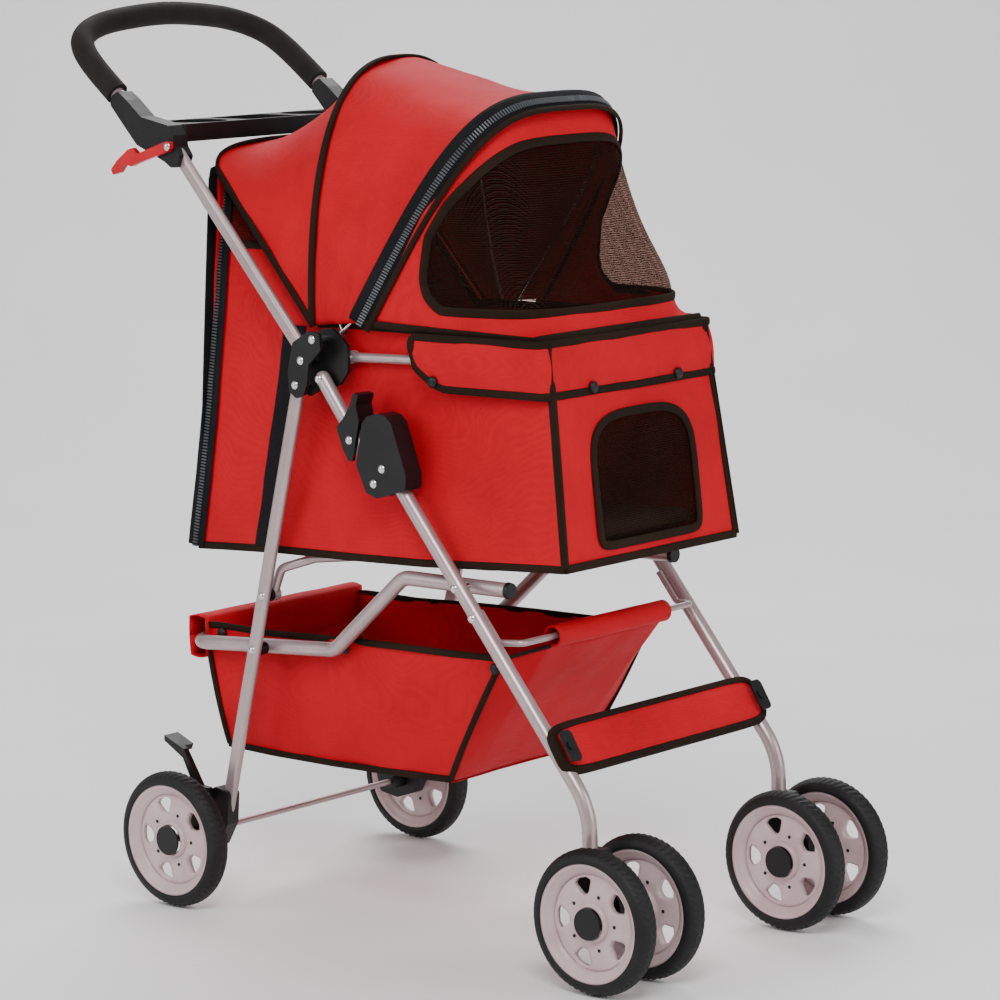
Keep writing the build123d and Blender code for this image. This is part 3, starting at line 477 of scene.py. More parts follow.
def smallItem(name, size, bevel):
    mesh = bpy.data.meshes.new(name)
    work = bmesh.new()
    bmesh.ops.create_cube(work, size=1.0)
    for vert in work.verts:
        vert.co = Vector((vert.co.x * size[0], vert.co.y * size[1], vert.co.z * size[2]))
    bmesh.ops.bevel(work, geom=list(work.edges), offset=bevel, segments=1, affect="EDGES")
    work.to_mesh(mesh)
    work.free()
    obj = bpy.data.objects.new(name, mesh)
    bpy.context.scene.collection.objects.link(obj)
    obj.hide_render = True
    obj.hide_viewport = True
    return obj


zipTooth = smallItem("zipTooth", (0.0022, 0.0070, 0.0019), 0.0004)


def cabinPiece(obj, body="rear_frame"):
    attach(obj, body)
    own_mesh(obj)
    return obj


# ------------------------------------------------------------ cabin sides
cabin = {"thick": 0.0016, "bulge": 0.005, "crease": 0.0026, "bindingWide": 0.0085, "bindingThick": 0.0034}
sideFoot = 144.0
sideLean = 0.062
sideBottom = [(78, 415), (170, 410), (266, 404), (370, 401), (474, 399), (560, 395), (596, 393)]
sideTop = [(108, 641), (250, 644), (400, 645), (424, 643), (486, 722), (549, 801), (562, 800)]
sideFront = [(78, 415), (93, 528), (108, 641)]
sideRear = [(596, 393), (586, 470), (577, 554), (569, 650), (564, 723), (562, 800)]


def sidePoint(side, station, height, off=0.0):
    depth = (station - 90) / 480.0
    level = (height - 400) / 240.0
    swell = math.sin(math.pi * min(1, max(0, depth))) * math.sin(math.pi * min(1, max(0, level)))
    place = Vector((station, height, side * 50)) * 0.012
    ripple = cabin["crease"] * (noise.noise(place) + 0.5 * noise.noise(place * 2.3))
    edge = min(1.0, max(0.0, min((station - 84) / 60, (600 - station) / 60, (height - 400) / 50)))
    x = (sideFoot - sideLean * (height - 400)) * mm - cabin["bulge"] * swell + ripple * edge + off
    return Vector((side * x, axle.y + station * mm, height * mm))


def pairs(points):
    return [Vector((a, b, 0)) for a, b in points]


def sideGrid(side):
    bottom, top, left, right = pairs(sideBottom), pairs(sideTop), pairs(sideFront), pairs(sideRear)
    rows = []
    for i in range(61):
        row = []
        for j in range(91):
            p = coons(bottom, top, left, right, j / 90, i / 60)
            row.append(sidePoint(side, p.x, p.y))
        rows.append(row)
    return rows


def edgeOn(side, points, count, off=0.0):
    line = smoothLine(pairs(points), count)
    return [sidePoint(side, p.x, p.y, off) for p in line]


def buildSides():
    names = []
    for side, word in ((-1, "Right"), (1, "Left")):
        out = Vector((side, 0, 0))
        panel = thickSheet("cabinSide" + word, sideGrid(side), cabin["thick"], redCloth, outward=lambda p,
                           o=out: o)
        for label, line in (("Bottom", sideBottom), ("Front", sideFront), ("Top", sideTop),
                            ("Rear", sideRear)):
            pts = edgeOn(side, line, 60, -0.0006)
            piece = band("sideBinding" + label + word, pts, [out] * 60, cabin["bindingWide"],
                         cabin["bindingThick"], bindingCloth)
            cabinPiece(piece)
        strapRows = []
        for i in range(40):
            v = i / 39
            station = lerp(494, 458, v)
            height = lerp(401, 640, v)
            strapRows.append([sidePoint(side, station + (k - 4) * 4.0, height, 0.0009) for k in range(9)])
        strap = thickSheet("sideStrap" + word, strapRows, 0.0012, blackStrap, outward=lambda p, o=out: o)
        cabinPiece(strap)
        netBottom, netTop = pairs([(488, 724), (565, 724)]), pairs([(547, 797), (561, 797)])
        netLeft, netRight = pairs([(488, 724), (547, 797)]), pairs([(565, 724), (561, 797)])
        netRows = []
        for i in range(21):
            row = [coons(netBottom, netTop, netLeft, netRight, j / 20, i / 20) for j in range(21)]
            netRows.append([sidePoint(side, p.x, p.y, 0.0012) for p in row])
        net = thickSheet("sideNet" + word, netRows, 0.0006, darkNet, outward=lambda p, o=out: o)
        cabinPiece(net)
        seam = edgeOn(side, [(488, 723), (565, 723)], 20, 0.0012)
        cabinPiece(band("sideNetBinding" + word, seam, [out] * 20, 0.0085, 0.0034, bindingCloth))
        cabinPiece(panel)
        declareSheet(net, 0.078, 0.076)
        if side == -1:
            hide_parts("cabin_sides")
        names.append(panel)
        declareSheet(panel, 0.52, 0.40)
        declareSheet(strap, 0.034, 0.245)
    return names


buildSides()
print("cabin sides done")

# ------------------------------------------------------------ cabin front panel with its arched window
front = {"windowHalf": 82.0, "windowLow": 430.0, "windowHigh": 562.0, "corner": 3.0}


def frontPoint(x, height, off=0.0):
    # x in mm; the panel leans back towards its top
    share = (height - 415) / 226.0
    swell = math.cos(math.pi * x / 300.0) * math.sin(math.pi * min(1, max(0, share)))
    y = axle.y + (78 + 30 * share) * mm - 0.004 * swell - off
    return Vector((x * mm, y, height * mm))


def windowLoop(count):
    # arched outline: square lower corners, round upper ones
    points = []
    half, low, high = front["windowHalf"], front["windowLow"], front["windowHigh"]
    for i in range(count):
        angle = 2 * math.pi * i / count - math.pi / 2
        c, s = math.cos(angle), math.sin(angle)
        power = 2 / 3.4 if s > 0 else 2 / 14
        x = half * math.copysign(abs(c) ** power, c)
        mid = high - 62
        z = mid + 62 * abs(s) ** power if s > 0 else mid - (mid - low) * abs(s) ** power
        points.append((x, z))
    return points


def outerLoop(inner, low, high, halfLow, halfHigh):
    centre = (0.0, (low + high) / 2 - 10)
    loop = []
    for x, z in inner:
        dx, dz = x - centre[0], z - centre[1]
        best = 1e9
        if dz > 0:
            best = min(best, (high - centre[1]) / dz)
        if dz < 0:
            best = min(best, (low - centre[1]) / dz)
        if abs(dx) > 1e-6:
            # meet the slanted side edge
            slope = (halfHigh - halfLow) / (high - low)
            sign = 1 if dx > 0 else -1
            bottomHalf = halfLow + slope * (centre[1] - low)
            den = sign * dx - slope * dz
            if den > 1e-9:
                best = min(best, bottomHalf / den)
        loop.append((centre[0] + dx * best, centre[1] + dz * best))
    corners = [(-halfLow, low), (halfLow, low), (halfHigh, high), (-halfHigh, high)]
    for cx, cz in corners:
        k = min(range(len(loop)), key=lambda n: (loop[n][0] - cx) ** 2 + (loop[n][1] - cz) ** 2)
        loop[k] = (cx, cz)
    return loop


def buildFront():
    inner = windowLoop(160)
    outer = outerLoop(inner, 415, 641, 141.0, 127.0)
    rows = []
    for i in range(17):
        v = i / 16
        rows.append([frontPoint(lerp(a[0], b[0], v), lerp(a[1], b[1], v)) for a, b in zip(inner, outer)])
    ahead = Vector((0, -1, 0))
    panel = thickSheet("cabinFront", rows, cabin["thick"], redCloth, loop=True, outward=lambda p: ahead,
                       crease=0.0012)
    edge = [frontPoint(x, z, 0.0012) for x, z in inner]
    bits = [band("windowBinding", edge, [ahead] * len(edge), 0.0095, 0.0034, bindingCloth, closed=True)]
    for name, line in (("frontBottom", [(-141, 415), (141, 415)]), ("frontSideL", [(141, 415), (127, 641)]),
                       ("frontSideR", [(-141, 415), (-127, 641)])):
        pts = [frontPoint(lerp(line[0][0], line[1][0], k / 39), lerp(line[0][1], line[1][1], k / 39), 0.0006)
               for k in range(40)]
        bits.append(band(name + "Binding", pts, [ahead] * 40, 0.009, 0.0036, bindingCloth))
    netRows = []
    for i in range(15):
        v = max(0.002, i / 14)
        netRows.append([frontPoint(x * v, 492 + (z - 492) * v, -0.0006) for x, z in inner])
    net = thickSheet("frontNet", netRows, 0.0006, darkNet, loop=True, outward=lambda p: ahead)
    for piece in bits + [panel, net]:
        cabinPiece(piece)
    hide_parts("cabin_front")
    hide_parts("front_mesh")
    declareSheet(panel, 0.285, 0.23)
    declareSheet(net, 0.166, 0.134)


buildFront()
print("cabin front done")

# ------------------------------------------------------------ front flap that wraps the cabin's upper edge
flapX = 144.0


def flapPath(count):
    # plan line from the rear of one wing, round the front, to the other wing
    corner = 9.0
    points = [Vector((-flapX, 281, 0)), Vector((-flapX + 1, 200, 0)), Vector((-flapX + 3, 104 + corner, 0))]
    for k in range(1, 7):
        angle = math.pi / 2 * k / 6
        points.append(Vector((-flapX + 3 + corner * (1 - math.cos(angle)),
                              104 + corner * (1 - math.sin(angle)), 0)))
    points.append(Vector((0, 101.5, 0)))
    mirror = [Vector((-p.x, p.y, 0)) for p in reversed(points[:-1])]
    return smoothLine(points + mirror, count)


def flapLow(station, x):
    if abs(x) < flapX - 6:
        return 588.0
    rise = max(0.0, (station - 236) / 45.0)
    return 588.0 + 24.0 * min(1, rise) ** 1.6 + (10 if station > 279.9 else 0)


def buildFlap():
    line = flapPath(150)
    centre = Vector((0, axle.y + 0.3, 0.61))
    rows = []
    for i in range(13):
        v = i / 12
        row = []
        for p in line:
            low = flapLow(p.y, p.x)
            height = lerp(low, 640, v)
            lean = (height - 588) * 0.13
            puff = 3.0 * math.sin(math.pi * v)
            away = Vector((math.copysign(1, p.x), 0, 0)) if abs(p.x) > flapX - 6 else Vector((0, -1, 0))
            shift = lean if abs(p.x) < flapX - 4 else lean * max(0,
                                                                 (160 - p.y) / 50) * 0.6 if p.y < 160 else 0
            q = Vector((p.x, p.y + shift - 4, height)) + away * puff
            row.append(Vector((q.x * mm, axle.y + q.y * mm, q.z * mm)))
        rows.append(row)
    out = lambda p: Vector((p.x, (p.y - centre.y) * 1.0, 0))
    flap = thickSheet("frontFlap", rows, 0.0016, redCloth, outward=out, crease=0.0014, creaseScale=18.0)
    normals = [out(p).normalized() for p in rows[0]]
    bits = [band("flapLowBinding", rows[0], normals, 0.0085, 0.0038, bindingCloth),
            band("flapTopBinding", rows[-1], normals, 0.0085, 0.0038, bindingCloth)]
    for k, label in ((0, "R"), (-1, "L")):
        pts = smoothLine([row[k] for row in rows], 20)
        side = Vector((-1 if k == 0 else 1, 0, 0))
        bits.append(band("flapEnd" + label, pts, [side] * 20, 0.0085, 0.0038, bindingCloth))
    snaps = []
    for x, station, height in ((-146.5, 248, 595), (146.5, 248, 595), (-70, 96.5, 592), (70, 96.5, 592)):
        at = Vector((x * mm, axle.y + station * mm, height * mm))
        away = Vector((math.copysign(1, x), 0, 0)) if abs(x) > 100 else Vector((0, -1, 0))
        snaps.append(snapButton("flapSnap%d_%d" % (x, station), at, away, 0.0062))
    for piece in [flap] + bits + snaps:
        cabinPiece(piece)
    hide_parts("front_flap")
    declareSheet(flap, 0.66, 0.056)


def snapButton(name, at, away, radius):
    profile = [(0.0, 0.0030), (0.5, 0.0029), (0.8, 0.0022), (1.0, 0.0010), (1.0, -0.0008)]
    side = away.orthogonal().normalized()
    up = away.cross(side)
    verts, faces = [], []
    ring = 20
    for r, h in profile:
        for k in range(ring):
            a = 2 * math.pi * k / ring
            verts.append(at + away * h + (side * math.cos(a) + up * math.sin(a)) * radius * max(r, 0.02))
    for i in range(len(profile) - 1):
        for k in range(ring):
            m = (k + 1) % ring
            faces.append((i * ring + k, i * ring + m, (i + 1) * ring + m, (i + 1) * ring + k))
    faces.append(tuple(range(ring)))
    faces.append(tuple((len(profile) - 1) * ring + k for k in range(ring)))
    return addMesh(name, verts, faces, blackPlastic)


buildFlap()
print("flap done")

# ------------------------------------------------------------ hood
hood = {"thick": 0.0016, "crease": 0.0026, "sag": 0.004}
rearSection = (557, 803, -4, 139, 28, 3.3)
ribSection = (418, 644, 0.5, 143, 275, 2.5)
archSection = (350, 650, 34.6, 143, 274, 3.6)
visorSection = (225, 646, 60, 139, 110, 4.5)
lipSection = (122, 643, 78, 132, 13, 5.0)


def hoopPoint(section, u):
    station, height, lean, half, tall, square = section
    angle = math.pi * u
    c, s = math.cos(angle), max(0.0, math.sin(angle))
    x = -half * math.copysign(abs(c) ** (2 / square), c)
    up = tall * s ** (2 / square)
    lean = math.radians(lean)
    return Vector((x, station - up * math.sin(lean), height + up * math.cos(lean)))


def hoopSpread(section, count):
    # angles that set points at even distances round the hoop
    fine = [hoopPoint(section, k / 1200) for k in range(1201)]
    run = [0.0]
    for a, b in zip(fine, fine[1:]):
        run.append(run[-1] + (b - a).length)
    out, k = [], 0
    for i in range(count):
        goal = run[-1] * i / (count - 1)
        while k < 1199 and run[k + 1] < goal:
            k += 1
        out.append((k + (goal - run[k]) / max(1e-9, run[k + 1] - run[k])) / 1200)
    return out


hoopTables = {s: hoopSpread(s, 241) for s in (rearSection, ribSection, archSection, visorSection, lipSection)}


def hoopAt(section, t):
    # t is the share of the hoop's length
    table = hoopTables[section]
    place = min(239.999, max(0, t * 240))
    k = int(place)
    u = lerp(table[k], table[k + 1], place - k)
    return hoopPoint(section, u)


def toRow(p):
    return Vector((p.x * mm, axle.y + p.y * mm, p.z * mm))


hoodCentre = spot(0, 400, 700)


def hoodOut(p):
    return p - hoodCentre


def betweenHoops(a, b, t, v, sag):
    p, q = hoopAt(a, t), hoopAt(b, t)
    here = lerp(p, q, v)
    middle = Vector((0, here.y, 690))
    near = math.exp(-min(t, 1 - t) / 0.13) * math.sin(math.pi * v)
    ripple = 0.0022 * near * math.sin(2 * math.pi * (2.4 * v + 1.3 * t)) * min(1, min(t, 1 - t) / 0.02)
    pull = (middle - here).normalized() * (sag * math.sin(math.pi * v) * math.sin(math.pi * min(1,
            max(0, t))) + ripple) * 1000
    return toRow(here + pull)


def visorPoint(t, v, off=0.0):
    if v < 0.56:
        here = lerp(hoopAt(archSection, t), hoopAt(visorSection, t), v / 0.56)
    else:
        here = lerp(hoopAt(visorSection, t), hoopAt(lipSection, t), (v - 0.56) / 0.44)
    # round the knee of the visor
    if abs(v - 0.56) < 0.16:
        w = (v - 0.40) / 0.32
        a = lerp(hoopAt(archSection, t), hoopAt(visorSection, t), 0.40 / 0.56)
        b = lerp(hoopAt(visorSection, t), hoopAt(lipSection, t), 0.16 / 0.44)
        m = hoopAt(visorSection, t)
        here = a * (1 - w) ** 2 + m * 2 * w * (1 - w) + b * w * w
    here = toRow(here)
    if off:
        here = here + hoodOut(here).normalized() * off
    return here


windowShape = [(262, 700), (256, 742), (236, 775), (214, 800), (186, 834), (150, 860), (60, 860),
               (60, 668), (240, 668), (257, 682)]


def inWindow(p):
    y, z = (p.y - axle.y) / mm, p.z / mm
    inside = False
    for i in range(len(windowShape)):
        (y0, z0), (y1, z1) = windowShape[i - 1], windowShape[i]
        if (z0 > z) != (z1 > z) and y < y0 + (z - z0) * (y1 - y0) / (z1 - z0):
            inside = not inside
    return inside


def hoopNormals(points):
    return [hoodOut(p).normalized() for p in points]


def buildHoodMiddle():
    rows = [[betweenHoops(ribSection, archSection, j / 120, i / 24, hood["sag"]) for j in range(121)]
            for i in range(25)]
    cloth = thickSheet("hoodMiddle", rows, hood["thick"], redCloth, outward=hoodOut, crease=hood["crease"])
    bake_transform(cloth)
    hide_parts("hood_middle")
    declareSheet(cloth, 0.70, 0.16)


def buildHoodRear():
    rows = [[betweenHoops(ribSection, rearSection, j / 120, i / 24, 0.007) for j in range(121)]
            for i in range(25)]
    cloth = thickSheet("hoodRear", rows, hood["thick"], redCloth, outward=hoodOut, crease=0.0022,
                       creaseScale=11.0, seed=3.0)
    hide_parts("hood_rear")
    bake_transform(cloth)
    declareSheet(cloth, 0.70, 0.26)
    ribLine = [toRow(hoopAt(ribSection, k / 119)) for k in range(120)]
    rib = band("hoodRibBinding", [p + hoodOut(p).normalized() * 0.0014 for p in ribLine],
               hoopNormals(ribLine), 0.0095, 0.0042, bindingCloth)
    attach(rib, "hood_rib")
    backLine = [toRow(hoopAt(rearSection, k / 99)) for k in range(100)]
    backEdge = band("hoodBackBinding", backLine, hoopNormals(backLine), 0.009, 0.004, bindingCloth)
    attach(backEdge, "rear_frame")
    # binding down both lower edges
    for k, word in ((0, "Right"), (-1, "Left")):
        pts = smoothLine([row[k] for row in rows], 40)
        edge = band("hoodRearBinding" + word, pts, hoopNormals(pts), 0.011, 0.0038, bindingCloth)
        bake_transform(edge)


def buildVisor():
    directions = []
    for k in range(140):
        directions.append((k / 140, 0.0))
    for k in range(50):
        directions.append((1.0, k / 50))
    for k in range(140):
        directions.append((1 - k / 140, 1.0))
    for k in range(50):
        directions.append((0.0, 1 - k / 50))
    centre = (0.5, 0.56)
    inner = []
    for du, dv in directions:
        low, high = 0.0, 1.0
        for _ in range(22):
            mid = (low + high) / 2
            t, v = lerp(centre[0], du, mid), lerp(centre[1], dv, mid)
            if inWindow(visorPoint(t, v)):
                low = mid
            else:
                high = mid
        inner.append((lerp(centre[0], du, low), lerp(centre[1], dv, low)))
    # smooth the outline a little
    for _ in range(3):
        inner = [((inner[i - 1][0] + 2 * inner[i][0] + inner[(i + 1) % len(inner)][0]) / 4,
                  (inner[i - 1][1] + 2 * inner[i][1] + inner[(i + 1) % len(inner)][1]) / 4)
                 for i in range(len(inner))]
    rows = []
    for i in range(13):
        w = i / 12
        rows.append([visorPoint(lerp(a[0], b[0], w), lerp(a[1], b[1], w)) for a, b in zip(inner, directions)])
    cloth = thickSheet("hoodVisor", rows, hood["thick"], redCloth, loop=True, outward=hoodOut, crease=0.0012)
    netRows = []
    for i in range(21):
        w = max(0.002, i / 20)
        netRows.append([visorPoint(lerp(centre[0], a[0], w), lerp(centre[1], a[1], w), -0.0008)
                        for a in inner])
    net = thickSheet("hoodNet", netRows, 0.0006, darkNet, loop=True, outward=hoodOut)
    rim = [visorPoint(a, b, 0.0004) for a, b in inner]
    rimBand = band("hoodWindowBinding", rim, hoopNormals(rim), 0.0105, 0.0036, bindingCloth, closed=True)
    lip = [visorPoint(k / 119, 1.0) for k in range(120)]
    lipBand = band("hoodLipBinding", lip, [Vector((0, -1, 0.2))] * 120, 0.009, 0.0038, bindingCloth)
    bits = [rimBand, lipBand]
    for t, word in ((0.0, "Right"), (1.0, "Left")):
        pts = [visorPoint(t, k / 59) for k in range(60)]
        bits.append(band("hoodLowBinding" + word, pts, hoopNormals(pts), 0.0085, 0.0036, bindingCloth))
    for piece in [cloth, net] + bits:
        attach(piece, "front_window")
        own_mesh(piece)
    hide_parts("front_window")
    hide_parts("hood_mesh")
    declareSheet(cloth, 0.62, 0.21)
    declareSheet(net, 0.46, 0.19)
    # zip along the main hoop, its tape on the hoop's body and its teeth on top
    arch = [toRow(hoopAt(archSection, k / 159)) for k in range(160)]
    lifted = [p + hoodOut(p).normalized() * 0.0022 for p in arch]
    tape = band("archZipTape", lifted, hoopNormals(arch), 0.026, 0.0024, blackStrap)
    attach(tape, "hood_front")
    for shift, word in ((-0.0125, "Front"), (0.0125, "Back")):
        lean = math.radians(archSection[2])
        away = Vector((0, math.cos(lean), math.sin(lean))) * shift
        edge = band("archZipEdge" + word, [p + away for p in lifted], hoopNormals(arch), 0.0065, 0.0036,
                    bindingCloth)
        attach(edge, "hood_front")
    high = [p + hoodOut(p).normalized() * 0.0042 for p in arch]
    teeth = repeatAlong("archZipTeeth", high, hoopNormals(arch), zipTooth, 0.0034, zipPlastic)
    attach(teeth, "hood_front")


buildHoodMiddle()
buildHoodRear()
buildVisor()
print("hood done")

# ------------------------------------------------------------ rear door panel with its mesh and zip
doorFoot, doorHead = (593, 397), (562.5, 797)


def doorPoint(x, v, off=0.0):
    station = lerp(doorFoot[0], doorHead[0], v)
    height = lerp(doorFoot[1], doorHead[1], v)
    swell = math.cos(math.pi * x / 300) * math.sin(math.pi * v) * 5
    return spot(x, station + swell + off / mm, height)


def buildDoor():
    back = Vector((0, 1, 0))
    half = 133.0
    rows = [[doorPoint(lerp(-half, half, j / 60), i / 60) for j in range(61)] for i in range(61)]
    panel = thickSheet("rearDoorPanel", rows, 0.0016, redCloth, outward=lambda p: back, crease=0.0018)
    net = [[doorPoint(lerp(-100, 100, j / 40), lerp(0.46, 0.94, i / 30), 0.0022) for j in range(41)]
           for i in range(31)]
    mesh = thickSheet("rearDoorNet", net, 0.0008, darkNet, outward=lambda p: back)
    ringPts = []
    for a, b in (((-100, 0.46), (100, 0.46)), ((100, 0.46), (100, 0.94)), ((100, 0.94), (-100, 0.94)),
                 ((-100, 0.94), (-100, 0.46))):
        ringPts += [doorPoint(lerp(a[0], b[0], k / 24), lerp(a[1], b[1], k / 24), 0.0025) for k in range(24)]
    bits = [band("rearDoorNetBinding", ringPts, [back] * len(ringPts), 0.010, 0.003, bindingCloth,
                 closed=True)]
    zipLine = [doorPoint(-half, k / 89, 0.0028)
               for k in range(90)] + [doorPoint(lerp(-half, half, k / 60), 1.0, 0.0028)
                                      for k in range(1, 61)] + \
              [doorPoint(half, 1 - k / 89, 0.0028) for k in range(1, 90)]
    bits.append(band("rearDoorZipTape", zipLine, [back] * len(zipLine), 0.022, 0.0022, blackStrap))
    bits.append(repeatAlong("rearDoorZipTeeth", [p + back * 0.0018 for p in zipLine], [back] * len(zipLine),
                            zipTooth, 0.0034, zipPlastic))
    for piece in [panel, mesh] + bits:
        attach(piece, "rear_door")
        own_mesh(piece)
    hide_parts("rear_door")
    declareSheet(panel, 0.27, 0.405)
    declareSheet(mesh, 0.20, 0.20)


buildDoor()
print("rear door done")

# ------------------------------------------------------------ cabin floor cloth and pad
def buildFloor():
    rows = []
    for i in range(41):
        v = i / 40
        rows.append([spot(lerp(-138, 138, j / 24), lerp(84, 590, v),
                          lerp(412, 393, v) + 1.5 * math.sin(j / 24 * math.pi)) for j in range(25)])
    up = Vector((0, 0, 1))
    base = thickSheet("floorCloth", rows, 0.0016, redCloth, outward=lambda p: up)
    cabinPiece(base)
    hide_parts("cabin_floor")
    declareSheet(base, 0.276, 0.508)
    work = bmesh.new()
    verts = {}
    for side in (0, 1):
        for i in range(31):
            for j in range(19):
                u, v = j / 18, i / 30
                rim = min(1.0, 14 * min(u, 1 - u, (v) * 1.7, (1 - v) * 1.7))
                fat = 0.009 * math.sqrt(max(0, 1 - (1 - rim) ** 2))
                tuft = 0.0016 * math.cos(6 * math.pi * u) * math.cos(8 * math.pi * v) * rim
                mid = spot(lerp(-128, 128, u), lerp(112, 570, v), lerp(434, 415, v))
                verts[(side, i, j)] = work.verts.new(mid + up * ((fat + tuft) if side else -fat))
    for side in (0, 1):
        for i in range(30):
            for j in range(18):
                work.faces.new([verts[(side, i, j)], verts[(side, i, j + 1)], verts[(side, i + 1, j + 1)],
                                verts[(side, i + 1, j)]])
    bmesh.ops.remove_doubles(work, verts=work.verts, dist=1e-6)
    bmesh.ops.recalc_face_normals(work, faces=work.faces)
    mesh = bpy.data.meshes.new("floorPad")
    work.to_mesh(mesh)
    work.free()
    mesh.materials.append(padCloth)
    for polygon in mesh.polygons:
        polygon.use_smooth = True
    pad = bpy.data.objects.new("floorPad", mesh)
    bpy.context.scene.collection.objects.link(pad)
    cabinPiece(pad)


buildFloor()
print("floor done")

# ------------------------------------------------------------ storage basket
basket = {"half": 121.0, "bottomHalf": 112.0, "thick": 0.0014}


def basketPiece(obj):
    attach(obj, "seat_frame")
    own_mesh(obj)
    return obj


basketTop = [(181, 309), (250, 307), (336, 306), (418, 304), (518, 300), (592, 301), (612, 299)]
basketLow = [(262, 170), (340, 167), (430, 165), (520, 165), (588, 167)]
basketFrontEdge = [(262, 170), (222, 238), (181, 309)]
basketRearEdge = [(588, 167), (600, 234), (612, 299)]


def basketPoint(side, station, height):
    level = (height - 166) / 140
    x = lerp(basket["bottomHalf"], basket["half"], min(1, max(0, level)) ** 0.6)
    x += 3.0 * math.sin(math.pi * min(1, max(0, level)))
    return spot(side * x, station, height)


def buildBasket():
    bits, panels = [], []
    for side, word in ((-1, "Right"), (1, "Left")):
        out = Vector((side, 0, 0))
        rows = []
        for i in range(41):
            row = []
            for j in range(71):
                p = coons(pairs(basketLow), pairs(basketTop), pairs(basketFrontEdge), pairs(basketRearEdge),
                          j / 70, i / 40)
                row.append(basketPoint(side, p.x, p.y))
            rows.append(row)
        wall = thickSheet("basketSide" + word, rows, basket["thick"], redCloth, outward=lambda p, o=out: o,
                          crease=0.004, creaseScale=10.0, seed=side * 5.0)
        panels.append((wall, 0.44, 0.145))
        for label, line in (("Top", basketTop), ("Front", basketFrontEdge), ("Low", basketLow),
                            ("Rear", basketRearEdge)):
            pts = [basketPoint(side, p.x, p.y) + out * 0.0002 for p in smoothLine(pairs(line), 50)]
            if label == "Low":
                pts = [p + out * 0.001 for p in pts]
            bits.append(band("basketBinding" + label + word, pts, [out] * 50, 0.0075, 0.0034, bindingCloth))
        for station, height in ((190, 306), (400, 304), (585, 301)):
            at = spot(side * (basket["half"] + 2.5), station, height - 8)
            bits.append(snapButton("basketSnap%s%d" % (word, station), at, out, 0.006))
    rows = []
    for i in range(31):
        v = i / 30
        rows.append([basketPoint(lerp(-1, 1, j / 24), lerp(262, 588, v),
                                 167 + 2.5 * math.sin(math.pi * v) * math.sin(math.pi * j / 24) * -1)
                     for j in range(25)])
    down = Vector((0, 0, -1))
    panels.append((thickSheet("basketBottom", rows, basket["thick"], redCloth, outward=lambda p: down,
                              crease=0.002), 0.245, 0.33))
    rows = []
    for i in range(31):
        v = i / 30
        half = lerp(basket["bottomHalf"], basket["half"], v)
        rows.append([spot(lerp(-half, half, j / 24), lerp(588, 612, v) + 2.5 * math.sin(math.pi * j / 24),
                          lerp(167, 299, v)) for j in range(25)])
    back = Vector((0, 1, 0))
    panels.append((thickSheet("basketBack", rows, basket["thick"], redCloth, outward=lambda p: back,
                              crease=0.003), 0.245, 0.135))
    lowLine = [basketPoint(-1, 262, 170), basketPoint(1, 262, 170)]
    topLine = [basketPoint(-1, 181, 309), spot(-92, 140, 323), spot(0, 141, 321), spot(92, 140, 323),
               basketPoint(1, 181, 309)]
    edgeRight = [basketPoint(-1, p.x, p.y) for p in smoothLine(pairs(basketFrontEdge), 20)]
    edgeLeft = [basketPoint(1, p.x, p.y) for p in smoothLine(pairs(basketFrontEdge), 20)]
    rows = []
    for i in range(31):
        row = [coons(lowLine, topLine, edgeRight, edgeLeft, j / 50, i / 30) for j in range(51)]
        rows.append(row)
    ahead = Vector((0, -1, -0.8))
    panels.append((thickSheet("basketFront", rows, basket["thick"], redCloth, outward=lambda p: ahead,
                              crease=0.003), 0.245, 0.205))
    topPoints = smoothLine(topLine[:2], 14)
    for flip, word in ((1, "Right"), (-1, "Left")):
        pts = [Vector((p.x * flip, p.y, p.z)) for p in topPoints]
        bits.append(band("basketApronBinding" + word, pts, [ahead] * 14, 0.0075, 0.0034, bindingCloth))
    # sleeves round the front bar and the rear crossbar
    for name, station, height, half, radius in (("basketFrontSleeve", 138, 333, 92, 11.5),
                                                ("basketRearSleeve", 619, 286, 127, 14)):
        rows = []
        for i in range(17):
            a = 2 * math.pi * i / 16
            tallness = 1.75 if radius > 13 else 1.0
            across, up = math.cos(a), math.sin(a)
            flat = max(abs(across), abs(up)) ** (0.7 if radius > 13 else 0.0)
            rows.append([spot(lerp(-half, half, j / 30), station + radius * across / flat,
                              height + radius * tallness * up / flat) for j in range(31)])
        centre = spot(0, station, height)
        panels.append((thickSheet(name, rows, basket["thick"], redCloth, outward=lambda p,
                                  c=centre: Vector((0, p.y - c.y, p.z - c.z)), crease=0.0008), 2 * half * mm,
                       2 * math.pi * radius * (1.5 if radius > 13 else 1.0) * mm))
    for piece in bits + [p[0] for p in panels]:
        basketPiece(piece)
    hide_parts("storage_basket")
    for index, (piece, wide, tall) in enumerate(panels):
        declareSheet(piece, wide, tall)


buildBasket()
print("basket done")

